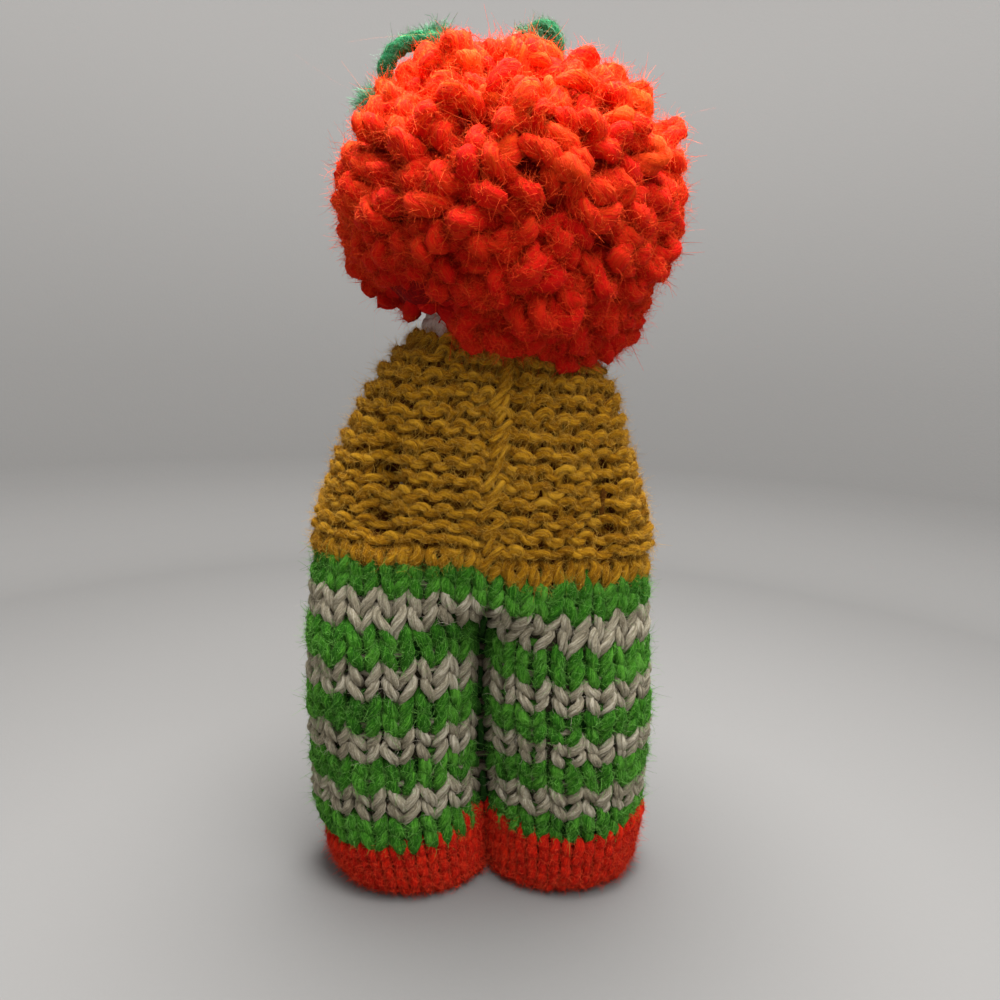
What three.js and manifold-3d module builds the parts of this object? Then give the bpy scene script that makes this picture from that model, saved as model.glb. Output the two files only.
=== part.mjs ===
// A small stuffed doll knitted as one tube in five yarns. Millimetres, +Z up.
// The doll stands on two flat soles at z = 0 and its face looks towards -Y.
// Its own left side is +X. The back, with the sweater's seam, looks towards +Y.
import * as THREE from 'three';
import Module from 'manifold-3d';

const wasm = await Module();
wasm.setup();

// ---------------------------------------------------------------- dimensions
const GAP = 0.3; // clearance between neighbouring pieces
const WALL = 2.2; // thickness of the knitted fabric
const SHOE_TOP = 12; // orange shoes end, trousers begin
const WAIST = 67; // trousers end, sweater begins
const SWEATER_TOP = 107.2; // neck edge of the sweater
const TROUSER_ROWS = 18; // knitted rows in the trousers, two to each band
const ROW = (WAIST - SHOE_TOP) / TROUSER_ROWS;
const BAND = 2 * ROW;
const SOLE = 2.4; // thickness of the sole
const WEB = 3.2; // half depth of the pinched fabric between the legs
const CROTCH = WAIST - BAND; // the stitched groove starts here
const ARM_CUT = 20.65; // |x| of the line of stitches that shapes an arm
const ARM_STITCH_Z = [75.6, 83.4];
const PIVOT_Z = 109; // the gathered neck bends about this height
const NECK_R = 9.3; // wad of stuffing inside the neck
const HEAD_C = 128;
const HEAD_R = [20, 19, 19.5];
const HEAD_BOTTOM = 112.4;
const HAIR_C = 134;
const HAIR_R = [33, 31, 28];
const YARN = 0.85; // radius of the sewing yarns

// height, half width, half depth of the body
const PROFILE = [
  [0, 29.4, 11.6],
  [1.4, 31.6, 13.2],
  [4, 32.8, 14.2],
  [8, 33.6, 14.6],
  [12, 34.6, 14.8],
  [17, 35.6, 15],
  [30, 36, 15],
  [42, 36, 15],
  [55, 35, 14.8],
  [61, 34.6, 14.8],
  [67, 34.5, 15],
  [73, 34.2, 15],
  [82, 31.5, 14.8],
  [91, 27.6, 14.1],
  [98, 23.5, 13.3],
  [103.5, 19.3, 12.5],
  [107.2, 14.2, 11.6],
];

function at(z, k) {
  if (z <= PROFILE[0][0]) return PROFILE[0][k];
  for (let i = 1; i < PROFILE.length; i++) {
    const p = PROFILE[i - 1];
    const q = PROFILE[i];
    if (z <= q[0]) return p[k] + ((q[k] - p[k]) * (z - p[0])) / (q[0] - p[0]);
  }
  return PROFILE[PROFILE.length - 1][k];
}

function smooth(t) {
  const s = Math.min(1, Math.max(0, t));
  return s * s * (3 - 2 * s);
}

// 0 above the crotch, 1 where the legs are fully divided
const grooved = (z) => smooth((CROTCH + 0.6 - z) / 9);

// ---------------------------------------------------------------- solids
function build(points, faces) {
  return new wasm.Manifold(
    new wasm.Mesh({
      numProp: 3,
      vertProperties: new Float32Array(points.flat()),
      triVerts: new Uint32Array(faces.flat()),
    }),
  );
}

// A solid through closed outlines of equal point count, given from bottom to
// top. Each outline is a list of [x, y, z], counter-clockwise from above.
function loft(rings) {
  const n = rings[0].length;
  const points = rings.flat();
  const faces = [];
  for (let r = 0; r + 1 < rings.length; r++)
    for (let i = 0; i < n; i++) {
      const a = r * n + i;
      const b = r * n + ((i + 1) % n);
      faces.push([a, b, b + n], [a, b + n, a + n]);
    }
  const flat = (ring) => ring.map((p) => new THREE.Vector2(p[0], p[1]));
  for (const t of THREE.ShapeUtils.triangulateShape(flat(rings[0]), []))
    faces.push([t[0], t[2], t[1]]);
  const top = (rings.length - 1) * n;
  for (const t of THREE.ShapeUtils.triangulateShape(flat(rings[rings.length - 1]), []))
    faces.push([top + t[0], top + t[1], top + t[2]]);
  return build(points, faces);
}

function ellipse(cx, cy, rx, ry, z, n) {
  const ring = [];
  for (let i = 0; i < n; i++) {
    const t = (2 * Math.PI * (i + 0.5)) / n;
    ring.push([cx + rx * Math.cos(t), cy + ry * Math.sin(t), z]);
  }
  return ring;
}

// The body's outline at height z, moved in by inset. Above the crotch it is a
// rounded oblong, below it two touching ovals joined by the pinched web.
function outline(z, inset, half = 12) {
  const a = at(z, 1) - inset;
  const b = at(z, 2) - inset;
  const c = a / 2;
  const g = grooved(z);
  const up = [];
  for (let i = 0; i <= half; i++) {
    // closely spaced at both sides and at the groove
    const t = (2 * i) / half - 1;
    const s = Math.abs(t);
    const x = Math.sign(t) * a * 0.5 * (1 - Math.cos(Math.PI * s));
    const u = Math.abs(x);
    const whole = b * Math.pow(Math.max(0, 1 - Math.pow(u / a, 2.4)), 1 / 2.4);
    const legs = b * Math.sqrt(Math.max(0, 1 - Math.pow((u - c) / c, 2)));
    const h = whole + (Math.max(legs, u < a * 0.3 ? WEB : 0) - whole) * g;
    up.push([x, h]);
  }
  const ring = [[-a, 0, z]];
  for (let i = 1; i < half; i++) ring.push([up[i][0], -up[i][1], z]);
  ring.push([a, 0, z]);
  for (let i = half - 1; i > 0; i--) ring.push([up[i][0], up[i][1], z]);
  return ring;
}

function heights(z0, z1, most) {
  const zs = [z0];
  for (const p of PROFILE) if (p[0] > z0 + 0.8 && p[0] < z1 - 0.8) zs.push(p[0]);
  zs.push(z1);
  const out = [zs[0]];
  for (let i = 1; i < zs.length; i++) {
    const n = Math.max(1, Math.ceil((zs[i] - zs[i - 1]) / most));
    for (let k = 1; k <= n; k++) out.push(zs[i - 1] + ((zs[i] - zs[i - 1]) * k) / n);
  }
  return out;
}

const bodySolid = (z0, z1, inset, most = 12, half = 12) =>
  loft(heights(z0, z1, most).map((z) => outline(z, inset, half)));

// one leg as an oval column, side = +1 left, -1 right
const legSolid = (side, z0, z1, inset, most = 20, n = 14) =>
  loft(
    heights(z0, z1, most).map((z) => {
      const c = at(z, 1) / 2;
      return ellipse(side * c, 0, c - inset, at(z, 2) - inset, z, n);
    }),
  );

function box(x0, x1, y0, y1, z0, z1) {
  return loft([
    [[x0, y0, z0], [x1, y0, z0], [x1, y1, z0], [x0, y1, z0]],
    [[x0, y0, z1], [x1, y0, z1], [x1, y1, z1], [x0, y1, z1]],
  ]);
}

// an ellipsoid cut flat just short of both poles
function ellipsoid(cx, cy, cz, rx, ry, rz, n = 20, m = 9) {
  const rings = [];
  for (let j = 0; j <= m; j++) {
    const t = -Math.PI / 2 + 0.12 + ((Math.PI - 0.24) * j) / m;
    rings.push(
      ellipse(cx, cy, rx * Math.cos(t), ry * Math.cos(t), cz + rz * Math.sin(t), n),
    );
  }
  return loft(rings);
}

// a round yarn along a line of points
function rope(line, radius, closed = false, sides = 6) {
  const p = line.map((q) => new THREE.Vector3(...q));
  const n = p.length;
  const tangent = p.map((_, i) => {
    const a = closed ? p[(i + n - 1) % n] : p[Math.max(0, i - 1)];
    const b = closed ? p[(i + 1) % n] : p[Math.min(n - 1, i + 1)];
    return new THREE.Vector3().subVectors(b, a).normalize();
  });
  const seed =
    Math.abs(tangent[0].x) < 0.8 ? new THREE.Vector3(1, 0, 0) : new THREE.Vector3(0, 1, 0);
  let normal = new THREE.Vector3().crossVectors(tangent[0], seed).normalize();
  const points = [];
  for (let i = 0; i < n; i++) {
    if (i) {
      normal = normal
        .clone()
        .applyQuaternion(new THREE.Quaternion().setFromUnitVectors(tangent[i - 1], tangent[i]));
    }
    const binormal = new THREE.Vector3().crossVectors(tangent[i], normal);
    for (let k = 0; k < sides; k++) {
      const t = (2 * Math.PI * k) / sides;
      points.push(
        p[i]
          .clone()
          .addScaledVector(normal, radius * Math.cos(t))
          .addScaledVector(binormal, radius * Math.sin(t))
          .toArray(),
      );
    }
  }
  let shift = 0;
  if (closed) {
    // the last ring meets the first one at the nearest corner
    const last = points[(n - 1) * sides];
    let best = Infinity;
    for (let k = 0; k < sides; k++) {
      const d = new THREE.Vector3(...points[k]).distanceTo(new THREE.Vector3(...last));
      if (d < best) [best, shift] = [d, k];
    }
  }
  const faces = [];
  const rings = closed ? n : n - 1;
  for (let i = 0; i < rings; i++)
    for (let k = 0; k < sides; k++) {
      const j = (i + 1) % n;
      const s = closed && i === n - 1 ? shift : 0;
      const a = i * sides + k;
      const b = i * sides + ((k + 1) % sides);
      const c = j * sides + ((k + 1 + s) % sides);
      const d = j * sides + ((k + s) % sides);
      faces.push([a, b, c], [a, c, d]);
    }
  if (!closed) {
    for (let k = 1; k + 1 < sides; k++) {
      faces.push([0, k + 1, k]);
      const e = (n - 1) * sides;
      faces.push([e, e + k, e + k + 1]);
    }
  }
  return build(points, faces);
}

// a line with its square corners cut off
function eased(line, cut, closed = false) {
  const n = line.length;
  const out = [];
  for (let i = 0; i < n; i++) {
    if (!closed && (i === 0 || i === n - 1)) {
      out.push(line[i]);
      continue;
    }
    const q = new THREE.Vector3(...line[i]);
    const a = new THREE.Vector3(...line[(i + n - 1) % n]).sub(q);
    const b = new THREE.Vector3(...line[(i + 1) % n]).sub(q);
    out.push(q.clone().addScaledVector(a.normalize(), cut).toArray());
    out.push(q.clone().addScaledVector(b.normalize(), cut).toArray());
  }
  return out;
}

// ---------------------------------------------------------------- materials
const yarn = (color, roughness = 0.95) =>
  new THREE.MeshStandardMaterial({ color, roughness, metalness: 0 });
const ORANGE = 0xb8300c;
const GREEN = 0x4a9a38;
const GREY = 0x968a7a;
const MUSTARD = 0xb47d1a;
const SKIN = 0xd8bfb4;
const HAIR = 0xd83a0c;
const BOW = 0x2f8c5c;
const FILL = 0xe8e4dc;

const group = new THREE.Group();
group.name = 'knitted_doll';
function add(name, solid, color, roughness) {
  const made = solid.asOriginal().simplify(0.05).getMesh();
  const geometry = new THREE.BufferGeometry();
  const xyz = new Float32Array((made.vertProperties.length / made.numProp) * 3);
  for (let i = 0; i < xyz.length / 3; i++)
    for (let k = 0; k < 3; k++) xyz[3 * i + k] = made.vertProperties[made.numProp * i + k];
  geometry.setAttribute('position', new THREE.BufferAttribute(xyz, 3));
  geometry.setIndex(new THREE.BufferAttribute(new Uint32Array(made.triVerts), 1));
  geometry.computeVertexNormals();
  const mesh = new THREE.Mesh(geometry, yarn(color, roughness));
  mesh.name = name;
  group.add(mesh);
}

// ---------------------------------------------------------------- sewing yarns
// The yarn that divides the legs goes through the web once in every band and
// lies in the front and the back groove between two passes.
const legLine = [];
for (let i = 8; i >= 1; i--) {
  const z = WAIST - BAND * (i + 0.5);
  const y = outline(z, 0).reduce((m, p) => (Math.abs(p[0]) < 0.01 ? Math.max(m, p[1]) : m), 0);
  const out = (y || WEB) + GAP + YARN;
  const first = i % 2 ? 1 : -1;
  legLine.push([0, first * out, z], [0, -first * out, z]);
}
const legPath = eased(legLine, 1.3);
const legYarn = rope(legPath, YARN);
const legRoom = rope(legPath, (YARN + GAP) * 1.15);

const armStitch = (side, radius) => {
  const x = side * ARM_CUT;
  const [lo, hi] = ARM_STITCH_Z;
  return rope(
    eased([[x, -11.3, lo], [x, 11.3, lo], [x, 10.8, hi], [x, -10.8, hi]], 1.4, true),
    radius,
    true,
  );
};
const armSlot = (side) =>
  box(
    side * ARM_CUT - YARN - GAP,
    side * ARM_CUT + YARN + GAP,
    -20,
    20,
    ARM_STITCH_Z[0] - YARN - GAP,
    ARM_STITCH_Z[1] + YARN + GAP,
  );
const slots = armSlot(1).add(armSlot(-1));

// ---------------------------------------------------------------- shoes
for (const side of [1, -1]) {
  const name = side > 0 ? 'left' : 'right';
  const outer = legSolid(side, 0, SHOE_TOP - GAP / 2, GAP / 2, 5, 20);
  const inner = legSolid(side, SOLE, SHOE_TOP + 1, WALL, 5);
  add(`shoe_${name}`, outer.subtract(inner).subtract(legRoom), ORANGE);
}

// ---------------------------------------------------------------- trousers
const inLegs = legSolid(1, 1, CROTCH + 0.01, WALL).add(legSolid(-1, 1, CROTCH + 0.01, WALL));
for (let i = 0; i < 9; i++) {
  const top = WAIST - BAND * i - GAP / 2;
  const bottom = WAIST - BAND * (i + 1) + GAP / 2;
  const outer = bodySolid(bottom, top, 0, i < 2 ? 3.2 : 12);
  const band = i === 0 ? outer.subtract(bodySolid(CROTCH - 1, WAIST + 1, WALL)) : outer.subtract(inLegs).subtract(legRoom);
  const name = i % 2 ? `trouser_grey_${(i + 1) / 2}` : `trouser_green_${i / 2 + 1}`;
  add(name, band, i % 2 ? GREY : GREEN);
}

// ---------------------------------------------------------------- sweater
const NECK_ROOM = NECK_R + GAP + 0.4;
const neckRoom = ellipsoid(0, 0, PIVOT_Z, NECK_ROOM, NECK_ROOM, NECK_ROOM, 14, 7);
const seamLine = [];
for (const z of heights(WAIST + 1.4, SWEATER_TOP - 1.6, 12))
  seamLine.push([0, at(z, 2) - 0.35, z]);
const sweater = bodySolid(WAIST + GAP / 2, SWEATER_TOP, 0, 12, 14)
  .subtract(bodySolid(WAIST - 1, 104.4, WALL))
  .subtract(neckRoom)
  .subtract(slots)
  .subtract(rope(seamLine.map((p, i, all) => [p[0], p[1], p[2] + (i === 0 ? -GAP : i === all.length - 1 ? GAP : 0)]), (YARN + GAP) * 1.15));
const middle = box(-ARM_CUT + GAP / 2, ARM_CUT - GAP / 2, -30, 30, 0, 120);
const beside = (side) =>
  side > 0
    ? box(ARM_CUT + GAP / 2, 50, -30, 30, 0, 120)
    : box(-50, -ARM_CUT - GAP / 2, -30, 30, 0, 120);
add('sweater_torso', sweater.intersect(middle), MUSTARD);
add('sweater_arm_left', sweater.intersect(beside(1)), MUSTARD);
add('sweater_arm_right', sweater.intersect(beside(-1)), MUSTARD);
add('back_seam_yarn', rope(seamLine, YARN), MUSTARD);
add('arm_stitch_left', armStitch(1, YARN), MUSTARD);
add('arm_stitch_right', armStitch(-1, YARN), MUSTARD);
add('leg_dividing_yarn', legYarn, GREEN);

// ---------------------------------------------------------------- stuffing
const fill = bodySolid(CROTCH + GAP, 104, WALL + GAP).subtract(neckRoom).subtract(slots);
add('stuffing_torso', fill.intersect(middle), FILL);
add('stuffing_arm_left', fill.intersect(beside(1)), FILL);
add('stuffing_arm_right', fill.intersect(beside(-1)), FILL);
for (const side of [1, -1]) {
  const name = side > 0 ? 'left' : 'right';
  add(`stuffing_leg_${name}`, legSolid(side, SOLE + GAP, CROTCH, WALL + GAP), FILL);
}
add('stuffing_neck', ellipsoid(0, 0, PIVOT_Z, NECK_R, NECK_R, NECK_R, 14, 7), FILL);

// ---------------------------------------------------------------- neck yarn
const ring = [];
for (let i = 0; i < 20; i++) {
  const t = (2 * Math.PI * i) / 20;
  ring.push([10.95 * Math.cos(t), 10.95 * Math.sin(t), SWEATER_TOP + GAP + YARN]);
}
add('neck_gather_yarn', rope(ring, YARN, true), SKIN);

// ---------------------------------------------------------------- head
const cutBelow = box(-60, 60, -60, 60, 60, HEAD_BOTTOM);
const crownHole = loft([ellipse(0, 0, 2.5, 2.5, 140, 8), ellipse(0, 0, 2.5, 2.5, 150, 8)]);
const headOuter = ellipsoid(0, 0, HEAD_C, ...HEAD_R, 22, 11);
const headInner = ellipsoid(
  0,
  0,
  HEAD_C,
  HEAD_R[0] - WALL,
  HEAD_R[1] - WALL,
  HEAD_R[2] - WALL,
  14,
  7,
);
add(
  'head_knit',
  headOuter.subtract(headInner).subtract(cutBelow).subtract(neckRoom).subtract(crownHole),
  SKIN,
);
add(
  'stuffing_head',
  ellipsoid(
    0,
    0,
    HEAD_C,
    HEAD_R[0] - WALL - GAP,
    HEAD_R[1] - WALL - GAP,
    HEAD_R[2] - WALL - GAP,
    14,
    7,
  )
    .subtract(cutBelow)
    .subtract(neckRoom),
  FILL,
);
const crown = [];
for (let i = 0; i < 8; i++) {
  const t = (2 * Math.PI * i) / 8;
  crown.push([1.15 * Math.cos(t), 1.15 * Math.sin(t), HEAD_C + HEAD_R[2] - 1.3]);
}
add('crown_gather_yarn', rope(crown, 0.75, true, 6), SKIN);

// the head's surface at x and z on the face side, moved out by d
function onFace(x, z, d) {
  const [rx, ry, rz] = HEAD_R;
  const h = (z - HEAD_C) / rz;
  const y = -ry * Math.sqrt(Math.max(0, 1 - (x / rx) ** 2 - h * h));
  const n = new THREE.Vector3(x / rx ** 2, y / ry ** 2, (z - HEAD_C) / rz ** 2).normalize();
  return [x + n.x * d, y + n.y * d, z + n.z * d];
}
for (const side of [1, -1]) {
  const c = onFace(side * 6.6, 129.5, GAP + 0.85);
  add(`eye_${side > 0 ? 'left' : 'right'}`, ellipsoid(...c, 1.7, 0.75, 2, 8, 4), 0x1c1410, 0.7);
}
const lips = [];
for (let i = 0; i <= 6; i++) {
  const x = -4.4 + (8.8 * i) / 6;
  lips.push(onFace(x, 120.6 + 1.6 * (x / 4.4) ** 2, GAP + 0.62));
}
add('mouth', rope(lips, 0.6, false, 6), 0x9c2a1c, 0.9);

// ---------------------------------------------------------------- hair
// distance from the head's centre to an ellipsoid, along a direction
function reach(dir, cz, r) {
  const [dx, dy, dz] = dir;
  const o = HEAD_C - cz;
  const a = (dx / r[0]) ** 2 + (dy / r[1]) ** 2 + (dz / r[2]) ** 2;
  const b = (2 * o * dz) / r[2] ** 2;
  const c = (o / r[2]) ** 2 - 1;
  return (-b + Math.sqrt(b * b - 4 * a * c)) / (2 * a);
}
const rad = Math.PI / 180;
function aim(az, el) {
  return [Math.cos(el * rad) * Math.cos(az * rad), Math.cos(el * rad) * Math.sin(az * rad), Math.sin(el * rad)];
}
const inner = (dir) => reach(dir, HEAD_C, HEAD_R) + GAP + 0.25;
const outer = (dir) => reach(dir, HAIR_C, HAIR_R);

// a block of hair between the head and the outer shape, over a range of
// directions; both angles are in degrees from the head's centre
function lock(az0, az1, el0, el1, na, ne) {
  const point = (i, j, out) => {
    const dir = aim(az0 + ((az1 - az0) * i) / na, el0 + ((el1 - el0) * j) / ne);
    const r = out ? outer(dir) : inner(dir);
    return [dir[0] * r, dir[1] * r, HEAD_C + dir[2] * r];
  };
  const w = na + 1;
  const points = [];
  for (const out of [true, false])
    for (let j = 0; j <= ne; j++) for (let i = 0; i <= na; i++) points.push(point(i, j, out));
  const id = (i, j, out) => (out ? 0 : w * (ne + 1)) + j * w + i;
  const faces = [];
  const quad = (a, b, c, d) => faces.push([a, b, c], [a, c, d]);
  for (let j = 0; j < ne; j++)
    for (let i = 0; i < na; i++) {
      quad(id(i, j, 1), id(i + 1, j, 1), id(i + 1, j + 1, 1), id(i, j + 1, 1));
      quad(id(i, j, 0), id(i, j + 1, 0), id(i + 1, j + 1, 0), id(i + 1, j, 0));
    }
  for (let i = 0; i < na; i++) {
    quad(id(i, 0, 0), id(i + 1, 0, 0), id(i + 1, 0, 1), id(i, 0, 1));
    quad(id(i, ne, 1), id(i + 1, ne, 1), id(i + 1, ne, 0), id(i, ne, 0));
  }
  for (let j = 0; j < ne; j++) {
    quad(id(0, j, 1), id(0, j + 1, 1), id(0, j + 1, 0), id(0, j, 0));
    quad(id(na, j, 0), id(na, j + 1, 0), id(na, j + 1, 1), id(na, j, 1));
  }
  return build(points, faces);
}

// the block that covers the top of the head
function cap(el0, n, m) {
  const points = [];
  for (const out of [true, false]) {
    for (let j = 0; j < m; j++)
      for (let i = 0; i < n; i++) {
        const dir = aim((360 * i) / n, el0 + ((90 - el0) * j) / m);
        const r = out ? outer(dir) : inner(dir);
        points.push([dir[0] * r, dir[1] * r, HEAD_C + dir[2] * r]);
      }
    const r = out ? outer([0, 0, 1]) : inner([0, 0, 1]);
    points.push([0, 0, HEAD_C + r]);
  }
  const shell = n * m + 1;
  const faces = [];
  for (const out of [0, 1]) {
    const base = out * shell;
    const turn = (a, b, c) => faces.push(out ? [a, c, b] : [a, b, c]);
    for (let j = 0; j + 1 < m; j++)
      for (let i = 0; i < n; i++) {
        const a = base + j * n + i;
        const b = base + j * n + ((i + 1) % n);
        turn(a, b, b + n);
        turn(a, b + n, a + n);
      }
    for (let i = 0; i < n; i++)
      turn(base + (m - 1) * n + i, base + (m - 1) * n + ((i + 1) % n), base + n * m);
  }
  for (let i = 0; i < n; i++) {
    const a = i;
    const b = (i + 1) % n;
    faces.push([shell + a, shell + b, b], [shell + a, b, a]);
  }
  return build(points, faces);
}
const SPLIT = 0.45; // degrees of clearance on each side of a parting
const CROWN_EL = 52;
add('hair_crown', cap(CROWN_EL + SPLIT, 22, 4), HAIR);
add('hair_back', lock(38 + SPLIT, 142 - SPLIT, -48, CROWN_EL - SPLIT, 8, 6), HAIR);
add('hair_left', lock(-44 + SPLIT, 38 - SPLIT, -48, CROWN_EL - SPLIT, 6, 6), HAIR);
add('hair_right', lock(142 + SPLIT, 224 - SPLIT, -48, CROWN_EL - SPLIT, 6, 6), HAIR);
add('hair_fringe', lock(224 + SPLIT, 316 - SPLIT, 16, CROWN_EL - SPLIT, 8, 3), HAIR);

// ---------------------------------------------------------------- bows
// A yarn tied in a bow: knot, two loops, two cut tails. It lies on the hair
// where the direction from the head's centre meets the outer shape.
function bow(az, el, turnDeg, radius, length, tail) {
  const dir = aim(az, el);
  const r = outer(dir);
  const p = new THREE.Vector3(dir[0] * r, dir[1] * r, HEAD_C + dir[2] * r);
  const n = new THREE.Vector3(
    p.x / HAIR_R[0] ** 2,
    p.y / HAIR_R[1] ** 2,
    (p.z - HAIR_C) / HAIR_R[2] ** 2,
  ).normalize();
  let u = new THREE.Vector3(0, 0, 1).cross(n).normalize();
  u = u.applyAxisAngle(n, turnDeg * rad);
  const v = new THREE.Vector3().crossVectors(n, u);
  const lift = radius + GAP + 0.1;
  const place = (a, b, c) =>
    p
      .clone()
      .addScaledVector(u, a)
      .addScaledVector(v, b)
      .addScaledVector(n, c + lift)
      .toArray();
  const parts = [ellipsoid(...place(0, 0, 1), 2.5, 2.5, 2.5, 10, 5)];
  for (const s of [1, -1]) {
    const L = length;
    parts.push(
      rope(
        [
          place(s * 0.5, 0.4, 1),
          place(s * L * 0.36, 1.7, 2),
          place(s * L * 0.74, 3.1, 3.8),
          place(s * L * 1.02, 2.4, 5.6),
          place(s * L * 1.02, -0.8, 5.4),
          place(s * L * 0.7, -2.3, 3.4),
          place(s * L * 0.34, -1.7, 1.7),
          place(s * 0.5, -0.4, 1),
        ],
        radius,
      ),
      rope(
        [
          place(s * 0.3, s * tail * 0.5, 0.9),
          place(s * 3, s * tail * 3.4, 0.7),
          place(s * 5, s * tail * 6, 0.8),
          place(s * 6.4, s * tail * 8.6, 1.1),
        ],
        radius,
      ),
    );
  }
  return parts.reduce((a, b) => a.add(b));
}
add('bow_left', bow(-42, 52, 10, 1.25, 9, 1), BOW);
add('bow_top', bow(-116, 72, -12, 1.25, 8, -1), BOW);

export default group;
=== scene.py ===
import math

import bpy
import numpy as np
from mathutils import Matrix, Vector


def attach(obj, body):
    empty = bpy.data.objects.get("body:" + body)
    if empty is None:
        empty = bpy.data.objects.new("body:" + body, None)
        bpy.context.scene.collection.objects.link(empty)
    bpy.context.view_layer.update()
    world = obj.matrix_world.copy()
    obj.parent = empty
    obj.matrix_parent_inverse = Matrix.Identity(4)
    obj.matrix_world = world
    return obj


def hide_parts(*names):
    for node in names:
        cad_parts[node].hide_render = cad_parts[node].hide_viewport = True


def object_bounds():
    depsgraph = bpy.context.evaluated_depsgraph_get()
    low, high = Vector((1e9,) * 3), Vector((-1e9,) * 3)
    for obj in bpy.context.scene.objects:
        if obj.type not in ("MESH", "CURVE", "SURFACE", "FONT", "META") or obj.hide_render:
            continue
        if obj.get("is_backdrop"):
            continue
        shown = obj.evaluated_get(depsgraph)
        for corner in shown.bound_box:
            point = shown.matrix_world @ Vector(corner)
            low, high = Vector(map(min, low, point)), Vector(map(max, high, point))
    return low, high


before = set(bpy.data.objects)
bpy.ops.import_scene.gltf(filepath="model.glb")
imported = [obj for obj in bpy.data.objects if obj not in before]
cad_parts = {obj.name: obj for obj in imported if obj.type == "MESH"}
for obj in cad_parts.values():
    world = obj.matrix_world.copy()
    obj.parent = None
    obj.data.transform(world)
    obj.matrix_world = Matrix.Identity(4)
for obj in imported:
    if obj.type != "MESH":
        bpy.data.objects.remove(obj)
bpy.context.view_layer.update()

TAU = 2 * math.pi

# Everything below is worked out in millimetres and scaled to metres when a
# mesh is made. The doll faces -Y, its back faces +Y, its own left is +X.

# ------------------------------------------------------------------ body form
SHOE_TOP, WAIST, SWEATER_TOP = 12.0, 67.0, 107.2
ROW = (WAIST - SHOE_TOP) / 18
CROTCH = WAIST - 2 * ROW
WEB = 3.2
PROFILE = np.array([
    [-2, 28.4, 10.8], [0, 30.2, 12.0], [1.4, 31.6, 13.2], [4, 32.8, 14.2],
    [8, 33.6, 14.6], [12, 34.6, 14.8], [17, 35.6, 15.0], [30, 36.0, 15.0],
    [42, 36.0, 15.0], [55, 35.3, 14.8], [61, 34.9, 14.8], [67, 34.8, 15.0],
    [73, 34.3, 15.0], [82, 31.0, 14.9], [91, 27.2, 14.4], [98, 23.8, 13.8],
    [103.5, 20.8, 13.4], [107.2, 17.8, 13.2], [111, 14.2, 12.8], [115, 11.0, 11.6],
])
# the soft shoulders swell, more on the left side than on the right
SWELL_Z = [68, 75, 82, 88, 95, 100, 106, 110, 114]
SWELL_LEFT = [0, 1.2, 2.2, 3.0, 3.2, 3.4, 3.8, 4.0, 3.0]
SWELL_RIGHT = [0, 0, 0, 0.2, 0.7, 1.5, 1.4, 1.0, 0.6]
ZS = np.arange(-1.0, 114.01, 0.5)
NS = 640


def gauss(values, sigma, axis=0, wrap=False):
    half = max(1, int(math.ceil(3 * sigma)))
    k = np.exp(-0.5 * (np.arange(-half, half + 1) / sigma) ** 2)
    k /= k.sum()
    pad = [(0, 0)] * values.ndim
    pad[axis] = (half, half)
    wide = np.pad(values, pad, mode="wrap" if wrap else "edge")
    out = np.zeros_like(values)
    for i, w in enumerate(k):
        sl = [slice(None)] * values.ndim
        sl[axis] = slice(i, i + values.shape[axis])
        out = out + w * wide[tuple(sl)]
    return out


def smoothstep(t):
    t = np.clip(t, 0, 1)
    return t * t * (3 - 2 * t)


half_width = gauss(np.interp(ZS, PROFILE[:, 0], PROFILE[:, 1]), 2.2)
half_depth = gauss(np.interp(ZS, PROFILE[:, 0], PROFILE[:, 2]), 2.2)


def lumps(seed, count, scale_s, scale_z):
    """A smooth random field over (s, z), periodic in s, about +-1."""
    r = np.random.default_rng(seed)
    terms = [
        (r.integers(1, scale_s + 1), r.uniform(-1, 1) * scale_z, r.uniform(0, TAU), r.normal())
        for _ in range(count)
    ]

    def field(s, z):
        total = 0
        for n, kz, ph, a in terms:
            total = total + a * np.cos(TAU * n * s + kz * z + ph)
        return total / math.sqrt(count / 2)

    return field


body_lumps = lumps(3, 14, 7, 0.16)


def sway(z):
    """How far the soft body bows to its left between the feet and the neck."""
    return 3.0 * np.sin(np.pi * np.clip(z, 0, 107) / 107)


SAG_Z = [0, 12, 24.2, 36.4, 48.7, 60.9, 67, 80, 88, 95, 100, 105, 110]
SAG_LEFT = [0, -0.3, -0.6, -0.6, 0.9, 2.4, 1.8, 0.7, 1.2, 1.8, 2.4, 3.1, 3.2]
SAG_RIGHT = [0, 0.3, -0.6, -2.2, -3.0, -1.8, -1.6, -0.8, -0.2, 0.5, 1.4, 2.6, 2.8]


def sag(s, z):
    """How far the rows run above or below their level, leg by leg."""
    x = np.sin(TAU * s) + 0 * z
    w = smoothstep(0.5 + 1.6 * x)
    left, right = np.interp(z, SAG_Z, SAG_LEFT), np.interp(z, SAG_Z, SAG_RIGHT)
    return left * w + right * (1 - w)


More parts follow.
